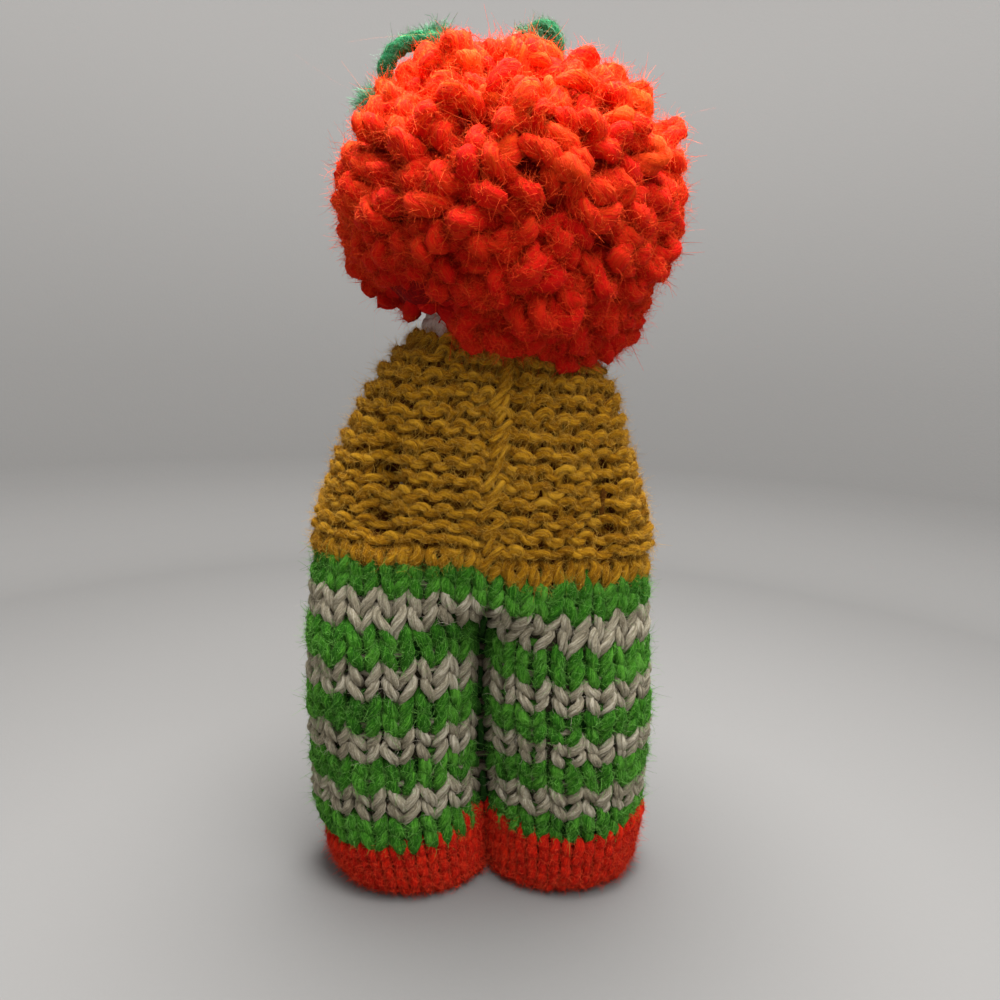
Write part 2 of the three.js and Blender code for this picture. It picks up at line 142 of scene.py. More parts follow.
def make_grid():
    """Points and outward normals of the body's outer surface over height and
    the share of the way round, 0 at the middle of the back, then towards +X."""
    grid = np.zeros((len(ZS), NS, 3))
    x01 = np.linspace(-1, 1, 801)
    x01 = np.sign(x01) * 0.5 * (1 - np.cos(np.pi * np.abs(x01)))
    for i, z in enumerate(ZS):
        a, b = half_width[i], half_depth[i]
        c = a / 2
        g = float(smoothstep(np.array((CROTCH + 0.6 - z) / 9)))
        u = np.abs(x01) * a
        whole = b * np.clip(1 - (u / a) ** 2.4, 0, None) ** (1 / 2.4)
        legs = b * np.sqrt(np.clip(1 - ((u - c) / c) ** 2, 0, None))
        web = WEB if z > 6 else WEB * max(0.15, (z + 1) / 7)
        h = whole + (np.maximum(legs, np.where(u < 0.3 * a, web, 0)) - whole) * g
        # the back half from the middle to +X, the front half, the back again
        xs = x01 * a
        mid = len(xs) // 2
        ring_x = np.concatenate([xs[mid:], xs[::-1][1:], xs[1:mid + 1]])
        ring_y = np.concatenate([h[mid:], -h[::-1][1:], h[1:mid + 1]])
        step = np.hypot(np.diff(ring_x), np.diff(ring_y))
        along = np.concatenate([[0], np.cumsum(step)])
        t = np.linspace(0, along[-1], NS + 1)[:-1]
        grid[i, :, 0] = np.interp(t, along, ring_x)
        grid[i, :, 1] = np.interp(t, along, ring_y)
        w = grid[i, :, 0] / a
        grid[i, :, 0] += np.interp(z, SWELL_Z, SWELL_LEFT) * smoothstep((w - 0.45) / 0.55)
        grid[i, :, 0] -= np.interp(z, SWELL_Z, SWELL_RIGHT) * smoothstep((-w - 0.45) / 0.55)
        grid[i, :, 2] = z
    grid[..., :2] = gauss(grid[..., :2], 2.5, axis=1, wrap=True)
    grid[..., :2] = gauss(grid[..., :2], 1.2, axis=0)
    normal = grid_normals(grid)
    s = np.linspace(0, 1, NS + 1)[:-1][None, :]
    z = ZS[:, None]
    x, y = grid[..., 0], grid[..., 1]
    push = 0.55 * body_lumps(s, z) * smoothstep((z - 2) / 10)
    # the stitched lines that shape the arms, and a dimple at each stitch
    line = np.exp(-(((np.abs(x) - 20.6) / 2.6) ** 2))
    push = push - 1.7 * line * smoothstep((z - 68) / 8) * smoothstep((98 - z) / 10)
    for side, spots in ((1, ((85.4, 20.4, 3.6), (77.9, 21.6, 3.0))), (-1, ((84.4, 20.6, 2.2), (77.8, 21.8, 1.8)))):
        for pz, px, deep in spots:
            push = push - deep * np.exp(-(((x - side * px) / 1.8) ** 2) - ((z - pz) / 2.7) ** 2)
    back = (y > 0) * smoothstep((z - 66) / 4)
    push = push - 0.9 * back * np.exp(-((x / 1.9) ** 2))
    push = push + 0.5 * back * np.exp(-(((np.abs(x) - 4.2) / 2.4) ** 2))
    push = push - 0.5 * np.exp(-(((z - WAIST) / 2.2) ** 2))
    grid = grid + normal * push[..., None]
    normal = gauss(grid_normals(grid), 2.5, axis=1, wrap=True)
    grid[..., 0] += sway(z)
    return grid, normal


def grid_normals(grid):
    ds = np.roll(grid, -1, axis=1) - np.roll(grid, 1, axis=1)
    dz = np.gradient(grid, axis=0)
    n = np.cross(ds, dz)
    n /= np.linalg.norm(n, axis=-1, keepdims=True) + 1e-12
    # s runs from the back towards +X, which is clockwise from above
    flip = np.sign((n * (grid - grid.mean(axis=1, keepdims=True))).sum(-1).mean())
    return n * flip


BODY, BODY_N = make_grid()
ROUND = np.linalg.norm(np.roll(BODY, -1, axis=1) - BODY, axis=-1).sum(1)


def on_body(s, z):
    """Surface point and normal at share s of the way round and height z."""
    z = z + sag(s, z)
    s = np.mod(s, 1) * NS
    i0 = np.floor(s).astype(int) % NS
    i1 = (i0 + 1) % NS
    fs = (s - np.floor(s))[..., None]
    zz = np.clip((z - ZS[0]) / (ZS[1] - ZS[0]), 0, len(ZS) - 1.001)
    j0 = np.floor(zz).astype(int)
    fz = (zz - j0)[..., None]

    def mix(g):
        low = g[j0, i0] * (1 - fs) + g[j0, i1] * fs
        high = g[j0 + 1, i0] * (1 - fs) + g[j0 + 1, i1] * fs
        return low * (1 - fz) + high * fz

    p = mix(BODY)
    p[..., 2] = p[..., 2] + (z - np.clip(z, ZS[0], ZS[-1]))
    n = mix(BODY_N)
    return p, n / np.linalg.norm(n, axis=-1, keepdims=True)


# ------------------------------------------------------------------ head form
HEAD_C = np.array([0.0, 0.0, 128.0])
HEAD_R = np.array([20.0, 19.0, 19.5])
PIVOT = np.array([0.0, 0.0, 109.0])
HAIR_C = 134.6
HAIR_R = np.array([33.0, 31.0, 28.8])


def on_head(s, z):
    """The same for the head, a stuffed ball that runs down into the neck."""
    t = np.clip((z - HEAD_C[2]) / HEAD_R[2], -1, 0.9995)
    r = np.sqrt(np.clip(1 - t * t, 0.0004, None))
    neck = 0.60
    r = np.where(t < 0, np.maximum(r, neck + 0.0 * r), r)
    # a soft corner where the ball meets the neck
    low = smoothstep((-t - 0.45) / 0.5)
    r = r * (1 - low) + np.hypot(r, neck * 0.35) * low
    ang = TAU * s
    dx, dy = np.sin(ang), np.cos(ang)
    flat = 1 - 0.12 * smoothstep((-t - 0.68) / 0.22)
    p = np.stack([HEAD_R[0] * r * dx, HEAD_R[1] * r * dy * flat, z + 0 * s], -1)
    nz = np.where(t > -0.8, t, -0.8 + 0.9 * (-0.8 - t)) / HEAD_R[2]
    n = np.stack([r * dx / HEAD_R[0], r * dy / HEAD_R[1], nz + 0 * s], -1)
    return p, n / np.linalg.norm(n, axis=-1, keepdims=True)


# ------------------------------------------------------------------ mesh maker
class Cloud:
    """Collects rings of points into one mesh, with what the materials read: where a point is on its yarn, how deep
    between two plies, its tone, and how deep inside the fabric it lies. The materials darken both depths as painted
    shade."""

    def __init__(self):
        self.v, self.q, self.t = [], [], []
        self.yarn, self.tone, self.deep = [], [], []
        self.n = 0

    def ribbons(self, pts, yarn, tone, deep):
        """pts [L, M, 2, 3]: flat hairs, two points wide."""
        L, M = pts.shape[:2]
        self.v.append(pts.reshape(-1, 3))
        self.yarn.append(yarn.reshape(-1, 3))
        self.tone.append(tone.reshape(-1, 3))
        self.deep.append(deep.reshape(-1))
        a = self.n + np.arange(L)[:, None] * (M * 2) + np.arange(M - 1)[None, :] * 2
        self.q.append(np.stack([a, a + 1, a + 3, a + 2], -1).reshape(-1, 4))
        self.n += L * M * 2

    def grid(self, pts, yarn, tone, close_u, close_v, caps=True, deep=None):
        """pts [L, M, k, 3]: L tubes of M rings of k points."""
        L, M, k, _ = pts.shape
        self.v.append(pts.reshape(-1, 3))
        self.yarn.append(yarn.reshape(-1, 3))
        self.tone.append(tone.reshape(-1, 3))
        self.deep.append(np.ones(L * M * k) if deep is None else deep.reshape(-1))
        base = self.n + np.arange(L)[:, None, None] * (M * k)
        mi = np.arange(M if close_u else M - 1)[None, :, None]
        ki = np.arange(k)[None, None, :]
        a = base + mi * k + ki
        b = base + mi * k + (ki + 1) % k
        c = base + ((mi + 1) % M) * k + (ki + 1) % k
        d = base + ((mi + 1) % M) * k + ki
        self.q.append(np.stack([a, b, c, d], -1).reshape(-1, 4))
        if not close_u and caps:
            for end in (0, M - 1):
                ring = self.n + np.arange(L)[:, None] * (M * k) + end * k
                fan = np.arange(1, k - 1)[None, :]
                p = ring + 0 * fan
                q, r = ring + fan, ring + fan + 1
                tri = np.stack([p, r, q] if end == 0 else [p, q, r], -1)
                self.t.append(tri.reshape(-1, 3))
        self.n += L * M * k

    def surface(self, pts, tone, close_u=True, yarn=None, flip=False):
        """pts [A, B, 3], closed along B if close_u."""
        A, B, _ = pts.shape
        self.v.append(pts.reshape(-1, 3))
        self.yarn.append((pts if yarn is None else yarn).reshape(-1, 3))
        self.tone.append(np.broadcast_to(tone, (A * B, 3)).astype(float).copy())
        self.deep.append(np.ones(A * B))
        i = np.arange(A - 1)[:, None]
        j = np.arange(B if close_u else B - 1)[None, :]
        a = self.n + i * B + j
        b = self.n + i * B + (j + 1) % B
        c = self.n + (i + 1) * B + (j + 1) % B
        d = self.n + (i + 1) * B + j
        quad = [a, d, c, b] if flip else [a, b, c, d]
        self.q.append(np.stack(quad, -1).reshape(-1, 4))
        self.n += A * B

    def make(self, name, material, smooth=True, ground=0.00004):
        v = np.concatenate(self.v) * 0.001
        v[:, 2] = np.maximum(v[:, 2], ground)  # what stands on the floor is pressed flat
        q = np.concatenate(self.q) if self.q else np.zeros((0, 4), int)
        t = np.concatenate(self.t) if self.t else np.zeros((0, 3), int)
        mesh = bpy.data.meshes.new(name)
        mesh.vertices.add(len(v))
        mesh.vertices.foreach_set("co", v.astype(np.float32).ravel())
        mesh.loops.add(q.size + t.size)
        mesh.loops.foreach_set("vertex_index", np.concatenate([q.ravel(), t.ravel()]).astype(np.int32))
        mesh.polygons.add(len(q) + len(t))
        total = np.concatenate([np.full(len(q), 4), np.full(len(t), 3)])
        start = np.concatenate([[0], np.cumsum(total)[:-1]])
        mesh.polygons.foreach_set("loop_start", start.astype(np.int32))
        mesh.polygons.foreach_set("loop_total", total.astype(np.int32))
        mesh.polygons.foreach_set("use_smooth", np.full(len(total), smooth))
        for key, data in (("yarn", self.yarn), ("tone", self.tone)):
            at = mesh.attributes.new(key, "FLOAT_VECTOR", "POINT")
            at.data.foreach_set("vector", np.concatenate(data).astype(np.float32).ravel())
        at = mesh.attributes.new("deep", "FLOAT", "POINT")
        at.data.foreach_set("value", np.concatenate(self.deep).astype(np.float32))
        mesh.update()
        mesh.materials.append(material)
        o = bpy.data.objects.new(name, mesh)
        bpy.context.scene.collection.objects.link(o)
        return o


def unit(v):
    return v / (np.linalg.norm(v, axis=-1, keepdims=True) + 1e-12)


def frames(C, closed, ref=None, n0=None):
    """Tangent, normal and binormal along each line of C [L, M, 3]."""
    if closed:
        T = unit(np.roll(C, -1, axis=1) - np.roll(C, 1, axis=1))
    else:
        T = unit(np.gradient(C, axis=1))
    if ref is not None:
        B = unit(np.cross(T, ref))
        return T, unit(np.cross(B, T)), B
    N = np.zeros_like(C)
    start = n0 if n0 is not None else np.where(np.abs(T[:, 0, :1]) < 0.8, [[1.0, 0, 0]], [[0, 1.0, 0]])
    prev = unit(start - (start * T[:, 0]).sum(-1, keepdims=True) * T[:, 0])
    for i in range(C.shape[1]):
        prev = unit(prev - (prev * T[:, i]).sum(-1, keepdims=True) * T[:, i])
        N[:, i] = prev
    return T, N, np.cross(T, N)


def lengths(C):
    d = np.linalg.norm(np.diff(C, axis=1), axis=-1)
    return np.concatenate([np.zeros((len(C), 1)), np.cumsum(d, axis=1)], axis=1)


def yarn_rings(C, R, closed=False, ref=None, n0=None, k=10, plies=3, lobe=0.1, turn=6.0, flat=1.0,
               shade=None, seed=0, rough=0.04):
    """Twisted yarn along each line of C. turn is the length of one full twist.
    Returns points [L, M, k, 3], yarn coordinates and tone for the material."""
    r = np.random.default_rng(seed)
    T, N, B = frames(C, closed, ref, n0)
    length = lengths(C)
    total = length[:, -1:] + (np.linalg.norm(C[:, :1] - C[:, -1:], axis=-1) if closed else 0)
    rate = TAU / turn * np.ones_like(total)
    if closed:  # whole turns, so that the plies meet where the yarn closes
        rate = np.round(total / turn * plies) * TAU / plies / total
    twist = rate * length + r.uniform(0, TAU, (len(C), 1))
    phi = np.linspace(0, TAU, k, endpoint=False)[None, None, :]
    rel = phi - twist[..., None]
    ridge = np.abs(np.cos(plies * rel / 2))
    rad = R[..., None] * (1 - lobe + lobe * 1.6 * (ridge - 0.35))
    rad = rad * (1 + rough * r.normal(size=rad.shape))
    pts = (C[:, :, None, :] + rad[..., None] * (flat * np.cos(phi)[..., None] * N[:, :, None, :]
                                               + np.sin(phi)[..., None] * B[:, :, None, :]))
    yarn = np.stack([np.cos(rel) * R[..., None], np.sin(rel) * R[..., None],
                     np.broadcast_to(length[..., None], rel.shape)], -1)
    yarn = yarn + r.uniform(0, 500, (len(C), 1, 1, 3))
    if shade is None:
        shade = np.zeros(R.shape)
    tone = np.stack([ridge, np.broadcast_to(shade[..., None], ridge.shape), np.zeros_like(ridge)], -1)
    return pts, yarn, tone


def fibres(cloud, P, D, length, width, curl, seed, steps=4, tone=0.6, deep=None, pale=0.0):
    """Loose fibres: thin curved flat hairs from points P in directions D."""
    r = np.random.default_rng(seed)
    n = len(P)
    t = np.linspace(0, 1, steps)[None, :, None]
    side = unit(np.cross(D, r.normal(size=(n, 3))))
    other = np.cross(D, side)
    bend = r.normal(size=(n, 1, 1)) * curl
    bend2 = r.normal(size=(n, 1, 1)) * curl
    L = length[:, None, None]
    C = (P[:, None, :] + L * (t * D[:, None, :] + bend * t**2 * side[:, None, :]
                             + bend2 * t**2 * other[:, None, :]
                             + 0.35 * curl * np.sin(t * 5 + r.uniform(0, TAU, (n, 1, 1))) * t * side[:, None, :]))
    w = width * r.uniform(0.7, 1.3, (n, 1, 1)) * (1 - 0.7 * t)
    across = unit(other + r.normal(size=(n, 3)) * 0.6)[:, None, :] * w
    pts = np.stack([C - across, C + across], 2)
    tn = np.zeros(pts.shape)
    tn[..., 0] = 1
    tn[..., 1] = (r.uniform(-1.5, 1.5, (n, 1, 1)) + tone) * np.ones((n, steps, 2))
    tn[..., 2] = np.where(r.random((n, 1, 1)) < pale, 1.9, 1.0) * np.ones((n, steps, 2))
    dp = (np.ones((n, 1, 1)) if deep is None else deep[:, None, None]) * np.ones((n, steps, 2))
    cloud.ribbons(pts, pts * 0.7, tn, dp)


def fuzz(cloud, pts, C, outward, count, seed, length=(1.0, 2.4), width=0.04, curl=0.45, lying=0.6, deep=None, pale=0.0,
         cover=None):
    """Fibres about the yarn surface pts [L, M, k, 3] with centres C: some lie
    along it, some stand out of it. Few start deep inside, by cover or deep."""
    r = np.random.default_rng(seed)
    L, M, k, _ = pts.shape
    li, mi, ki = r.integers(0, L, count * 3), r.integers(0, M, count * 3), r.integers(0, k, count * 3)
    P = pts[li, mi, ki]
    n = unit(P - C[li, mi])
    facing = (n * outward[li, mi]).sum(-1)
    keep = np.flatnonzero(facing > -0.25)[:int(count * 1.5)]
    if deep is not None:
        inside = (deep if cover is None else cover)[li[keep], mi[keep], ki[keep]]
        keep = keep[inside > 0.25 + 0.5 * r.random(len(keep))]
    P, n, li, mi, ki = P[keep], n[keep], li[keep], mi[keep], ki[keep]
    T = unit(C[li, np.minimum(mi + 1, M - 1)] - C[li, np.maximum(mi - 1, 0)])
    side = np.cross(n, T)
    ang = r.normal(size=(len(P), 1)) * 0.8
    along = (T * np.cos(ang) + side * np.sin(ang)) * r.choice([-1, 1], (len(P), 1))
    lift = np.where(r.random((len(P), 1)) < lying, r.uniform(0.05, 0.35, (len(P), 1)), r.uniform(0.5, 2.2, (len(P), 1)))
    D = unit(along + lift * n)
    ln = r.uniform(length[0], length[1], len(P)) * np.where(lift[:, 0] > 0.4, r.choice([0.42, 0.75, 1.4], len(P), p=[0.68, 0.27, 0.05]), 0.9)
    dp = None if deep is None else np.clip(deep[li, mi, ki] + 0.15, 0, 1)
    fibres(cloud, P + 0.02 * n, D, ln, width, curl, seed + 1, deep=dp, pale=pale)


def depth_of(pts, P, N, reach=2.4):
    """1 on the outside of the fabric, 0 reach mm inside it. The materials darken the low values as painted shade."""
    h = ((pts - P[..., None, :]) * N[..., None, :]).sum(-1)
    return np.clip(1 + (h + 0.35) / reach, 0, 1)


# ------------------------------------------------------------------ knitting
def row_path(surface, z, count, pitch, reach, yarn_r, depth, face, spread, steps, rnd, jitter, s_shift=0.0,
             lean=0.28, inset=0.0):
    """One knitted row as a closed line, from the loops' heads at the bottom to
    their feet at the top. face is +1 with the V side out, -1 with the purl side."""
    total = count * steps
    t = TAU * np.arange(total) / steps
    u = t / TAU
    half = np.arange(total) / steps * 2
    i0 = np.floor(half).astype(int)
    f = smoothstep(half - i0)

    def wander(amount):
        v = rnd.normal(size=2 * count) * amount
        return v[i0 % (2 * count)] * (1 - f) + v[(i0 + 1) % (2 * count)] * f

    wide = spread * (1 + wander(0.16 * jitter))
    tall = reach * (1 + wander(0.10 * jitter))
    s = (u + wide * np.sin(2 * t) * (1 + 0.1 * np.cos(t)) + wander(0.055 * jitter)) / count + s_shift
    zz = z + pitch * (-tall * np.cos(t)) + wander(0.10 * jitter) * pitch
    deep = depth * (1 + wander(0.15 * jitter))
    off = -(yarn_r + depth) - face * deep * np.cos(2 * t) - lean * depth * np.cos(t) + wander(0.22 * jitter) - inset
    P, N = surface(s, zz)
    C = P + N * off[:, None]
    leaf = 0.22 if face > 0 else 0.03
    R = yarn_r * (1 + wander(0.07 * jitter)) * (1 - leaf * np.cos(2 * t))
    return C, N, R, s, wander(1.0), P


def smooth_closed(C, sigma):
    return gauss(C, sigma, axis=0, wrap=True)


class Knit:
    """Rows of one colour, gathered into one or more meshes."""

    def __init__(self, surface, count, yarn_r, depth, plies, turn, lobe, k=10, steps=20, jitter=1.0, spread=0.2, reach=0.8):
        self.__dict__.update(locals())
        self.rows = []

    def row(self, z, pitch, face, seed, s_shift=0.0, inset=0.0, **kw):
        rnd = np.random.default_rng(seed)
        yarn_r = kw.get("yarn_r", self.yarn_r)
        C, N, R, s, rand, P = row_path(self.surface, z, self.count, pitch, kw.get("reach", self.reach), yarn_r,
                                    kw.get("depth", self.depth), face, kw.get("spread", self.spread),
                                    self.steps, rnd, self.jitter, s_shift, inset=inset, lean=kw.get("lean", 0.28))
        C = smooth_closed(C, 0.7)
        pts, yarn, tone = yarn_rings(C[None], R[None], closed=True, ref=N[None], k=self.k, plies=self.plies,
                                     lobe=self.lobe, turn=self.turn, flat=0.9, shade=rand[None], seed=seed + 7)
        self.rows.append((pts[0], yarn[0], tone[0], C, N, depth_of(pts[0], P, N)))


# ------------------------------------------------------------------ materials
def new_material(name):
    m = bpy.data.materials.new(name)
    m.use_nodes = True
    nt = m.node_tree
    for n in list(nt.nodes):
        nt.nodes.remove(n)
    return m, nt


def yarn_material(name, dark, mid, light, fibre, pit, sheen=0.2, bump=0.6, streak=2.6, rough=0.9, valley=0.5,
                  grain=3.2, spread=0.11):
    """Twisted matt yarn: streaks along the fibres, painted shade between plies, painted shade deep inside the fabric, a
    slow change of tone, and paler loose fibres."""
    m, nt = new_material(name)
    N, K = nt.nodes, nt.links
    out = N.new("ShaderNodeOutputMaterial")
    bsdf = N.new("ShaderNodeBsdfPrincipled")
    yarn = N.new("ShaderNodeAttribute"); yarn.attribute_name = "yarn"
    tone = N.new("ShaderNodeAttribute"); tone.attribute_name = "tone"
    deep = N.new("ShaderNodeAttribute"); deep.attribute_name = "deep"
    sep = N.new("ShaderNodeSeparateXYZ")
    K.new(tone.outputs["Vector"], sep.inputs[0])

    def noise(scale, detail, roughness):
        mp = N.new("ShaderNodeMapping"); mp.inputs["Scale"].default_value = scale
        K.new(yarn.outputs["Vector"], mp.inputs["Vector"])
        n = N.new("ShaderNodeTexNoise"); n.inputs["Scale"].default_value = 1.0
        n.inputs["Detail"].default_value = detail; n.inputs["Roughness"].default_value = roughness
        K.new(mp.outputs[0], n.inputs["Vector"])
        return n.outputs["Fac"]

    n1 = noise((streak, streak, streak * 0.13), 4.0, 0.7)
    n2 = noise((0.8, 0.8, 0.3), 3.0, 0.6)
    n3 = noise((grain, grain, grain * 0.7), 3.0, 0.7)

    def madd(x, k, y):
        n = N.new("ShaderNodeMath"); n.operation = "MULTIPLY_ADD"
        n.inputs[1].default_value = k
        K.new(x, n.inputs[0])
        if y is None:
            n.inputs[2].default_value = 0.0
        else:
            K.new(y, n.inputs[2])
        return n.outputs[0]

    fine = madd(n1, 0.6, madd(n3, 0.4, None))
    value = madd(sep.outputs[1], 0.03, madd(fine, 0.75, madd(n2, 0.25, None)))
    ramp = N.new("ShaderNodeValToRGB")
    e = ramp.color_ramp.elements
    e[0].position, e[0].color = 0.5 - spread, (*dark, 1)
    e[1].position, e[1].color = 0.5 + spread, (*light, 1)
    x = e.new(0.5); x.color = (*mid, 1)
    K.new(value, ramp.inputs[0])

    def mapped(x, lo, hi, a, b, smooth=False):
        n = N.new("ShaderNodeMapRange")
        if smooth:
            n.interpolation_type = "SMOOTHSTEP"
        for k, v in (("From Min", lo), ("From Max", hi), ("To Min", a), ("To Max", b)):
            n.inputs[k].default_value = v
        K.new(x, n.inputs["Value"])
        return n.outputs[0]

    def mixed(fac, first, second):
        n = N.new("ShaderNodeMix"); n.data_type = "RGBA"
        K.new(fac, n.inputs[0])
        for i, c in ((6, first), (7, second)):
            if isinstance(c, tuple):
                n.inputs[i].default_value = (*c, 1)
            else:
                K.new(c, n.inputs[i])
        return n.outputs[2]

    # painted shade: the gaps between the plies turn darker
    c = mixed(mapped(sep.outputs[0], 0.0, 0.6, valley, 0.0), ramp.outputs[0], tuple(0.6 * v for v in dark))
    c = mixed(mapped(sep.outputs[2], 0.43, 1.9, 0.0, 0.9), c, fibre)
    # painted shade: deep inside the fabric the colour turns to the dark shade colour
    c = mixed(mapped(deep.outputs["Fac"], 0.05, 0.8, 0.0, 1.0, True), pit, c)
    K.new(c, bsdf.inputs["Base Color"])
    bm = N.new("ShaderNodeBump"); bm.inputs["Strength"].default_value = bump
    bm.inputs["Distance"].default_value = 0.0006
    K.new(fine, bm.inputs["Height"])
    K.new(bm.outputs[0], bsdf.inputs["Normal"])
    bsdf.inputs["Roughness"].default_value = rough
    bsdf.inputs["Specular IOR Level"].default_value = 0.15
    bsdf.inputs["Sheen Weight"].default_value = sheen
    bsdf.inputs["Sheen Roughness"].default_value = 0.5
    bsdf.inputs["Sheen Tint"].default_value = (*[min(1, 1.2 * v + 0.04) for v in light], 1)
    K.new(bsdf.outputs[0], out.inputs["Surface"])
    return m


def lin(r, g, b):
    """sRGB 0-255 to linear."""
    def f(c):
        c = c / 255
        return c / 12.92 if c <= 0.04045 else ((c + 0.055) / 1.055) ** 2.4
    return (f(r), f(g), f(b))


# the fifth colour of each yarn is painted shade: the colour it turns deep inside the fabric and between loops
MAT = {
    "hair": yarn_material("hair_yarn", lin(236, 14, 0), lin(255, 50, 0), lin(255, 90, 12), lin(255, 130, 60),
                          lin(198, 0, 0), sheen=0.08, streak=2.2, grain=3.0, bump=1.0, valley=0.5, spread=0.08),
    "orange": yarn_material("shoe_yarn", lin(163, 8, 0), lin(195, 21, 1), lin(228, 42, 8), lin(240, 98, 60),
                            lin(110, 4, 0), sheen=0.12, bump=0.7),
    "green": yarn_material("green_yarn", lin(28, 80, 9), lin(53, 117, 22), lin(94, 162, 52), lin(140, 198, 104),
                           lin(6, 38, 6), sheen=0.15, bump=0.9, streak=2.4, grain=3.0, spread=0.085),
    "grey": yarn_material("grey_yarn", lin(112, 103, 84), lin(155, 146, 124), lin(198, 190, 170), lin(214, 207, 190),
                          lin(66, 56, 44), sheen=0.1, bump=0.6, streak=3.0, valley=0.75),
    "mustard": yarn_material("mustard_yarn", lin(124, 78, 3), lin(170, 118, 12), lin(206, 154, 39), lin(226, 186, 94),
                             lin(66, 24, 0), sheen=0.1, bump=0.8, streak=2.8, valley=0.7, spread=0.1),
    "skin": yarn_material("pale_yarn", lin(206, 180, 168), lin(230, 210, 200), lin(242, 230, 222), lin(246, 238, 232),
                          lin(120, 84, 74), sheen=0.12),
    "bow": yarn_material("bow_yarn", lin(10, 78, 42), lin(28, 118, 70), lin(66, 160, 106), lin(140, 196, 162),
                         lin(6, 46, 28), sheen=0.25, bump=0.8),
    "eye": yarn_material("eye_yarn", lin(14, 12, 12), lin(34, 30, 28), lin(66, 60, 56), lin(80, 74, 70), lin(6, 5, 5), sheen=0.1),
    "mouth": yarn_material("mouth_yarn", lin(120, 20, 14), lin(170, 40, 28), lin(200, 70, 54), lin(210, 100, 80),
                           lin(70, 8, 6), sheen=0.1),
}


def lining_material(name, colour):
    m, nt = new_material(name)
    N, K = nt.nodes, nt.links
    out = N.new("ShaderNodeOutputMaterial"); bsdf = N.new("ShaderNodeBsdfPrincipled")
    tc = N.new("ShaderNodeAttribute"); tc.attribute_name = "yarn"
    n = N.new("ShaderNodeTexNoise"); n.inputs["Scale"].default_value = 1.6; n.inputs["Detail"].default_value = 5
    K.new(tc.outputs["Vector"], n.inputs["Vector"])
    ramp = N.new("ShaderNodeValToRGB")
    e = ramp.color_ramp.elements
    e[0].position, e[0].color = 0.35, (*[c * 0.55 for c in colour], 1)
    e[1].position, e[1].color = 0.68, (*colour, 1)
    K.new(n.outputs["Fac"], ramp.inputs[0]); K.new(ramp.outputs[0], bsdf.inputs["Base Color"])
    bm = N.new("ShaderNodeBump"); bm.inputs["Strength"].default_value = 0.8; bm.inputs["Distance"].default_value = 0.0005
    K.new(n.outputs["Fac"], bm.inputs["Height"]); K.new(bm.outputs[0], bsdf.inputs["Normal"])
    bsdf.inputs["Roughness"].default_value = 0.95
    bsdf.inputs["Specular IOR Level"].default_value = 0.1
    K.new(bsdf.outputs[0], out.inputs["Surface"])
    return m


# sheets under the yarn: all but the fibre fill are darker than their yarn, painted shade where the inside of the fabric
# shows through the gaps; the fibre fill is its own colour
LINING = {
    "orange": lining_material("shoe_inside_shade", lin(110, 8, 2)),
    "green": lining_material("green_inside", lin(16, 62, 12)),
    "grey": lining_material("grey_inside", lin(74, 66, 52)),
    "mustard": lining_material("mustard_inside_shade", lin(84, 40, 4)),
    "skin": lining_material("pale_inside_shade", lin(176, 142, 128)),
    "hair": lining_material("hair_inside_shade", lin(150, 0, 0)),
    "fill": lining_material("fibre_fill", lin(226, 222, 212)),
}

STEPS = 20
SIDES = 12


def finish(o, body, slot, *nodes):
    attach(o, body)
    if nodes:
        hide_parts(*nodes)
    return o


def close_rows(cloud, rows):
    for pts, yarn, tone, C, N, deep in rows:
        cloud.grid(pts[None], yarn[None], tone[None], True, True, deep=deep)


def shell(cloud, surface, z0, z1, inset, tone=(1, 0, 0), n=160, step=0.8):
    """The inside of the fabric, a smooth sheet under the yarn."""
    zs = np.arange(z0, z1 + step * 0.5, step)
    ss = np.linspace(0, 1, n, endpoint=False)
    S, Z = np.meshgrid(ss, zs)
    P, N = surface(S, Z)
    cloud.surface(P - N * inset, tone, close_u=True, flip=True)


# ------------------------------------------------------------------ trousers
LEG_COUNT = 28
bands = []
for i in range(9):
    grey = i % 2 == 1
    bands.append(("grey" if grey else "green", WAIST - 2 * ROW * i, f"trouser_{'grey' if grey else 'green'}_{i // 2 + 1}"))

for index, (colour, top, node) in enumerate(bands):
    grey = colour == "grey"
    knit = Knit(on_body, LEG_COUNT, 0.92 if grey else 1.08, 1.0, 4 if grey else 3, 16.0, 0.22 if grey else 0.12,
                k=SIDES, steps=STEPS, jitter=1.0 if grey else 0.9, spread=0.265 if grey else 0.2, reach=1.05)
    for r in range(2):
        knit.row(top - ROW * (r + 0.5), ROW, 1, 100 + index * 10 + r, s_shift=0.5 / LEG_COUNT, lean=0.55 if grey else 0.4)
    cloud, loose = Cloud(), Cloud()
    for pts, yarn, tone, C, N, deep in knit.rows:
        # the crease between the legs lies in shade
        crease = smoothstep((np.abs(pts[..., 0] - sway(pts[..., 2])) - 0.5) / 2.6)
        deep *= np.where(pts[..., 2] < CROTCH, 0.3 + 0.7 * crease, 1)
    close_rows(cloud, knit.rows)
    for r, (pts, yarn, tone, C, N, deep) in enumerate(knit.rows):
        fuzz(loose, pts[None], C[None], N[None], 1500 if grey else 7200, 900 + index * 10 + r,
             length=(0.5, 1.1) if index == 8 and r == 1 else (0.8, 2.1), width=0.03 if grey else 0.045, deep=deep[None],
             curl=0.45 if grey else 0.8)
    finish(cloud.make(node + "_knit", MAT[colour]), "body", f"trouser_{colour}_yarn", node)
    finish(loose.make(node + "_fuzz", MAT[colour]), "body", f"trouser_{colour}_yarn")
    inside = Cloud()
    shell(inside, on_body, top - 2 * ROW - 0.2, top + 0.2, 1.08 + 1.0 + 0.25)
    finish(inside.make(node + "_inside", LINING[colour]), "body", f"trouser_{colour}_yarn")


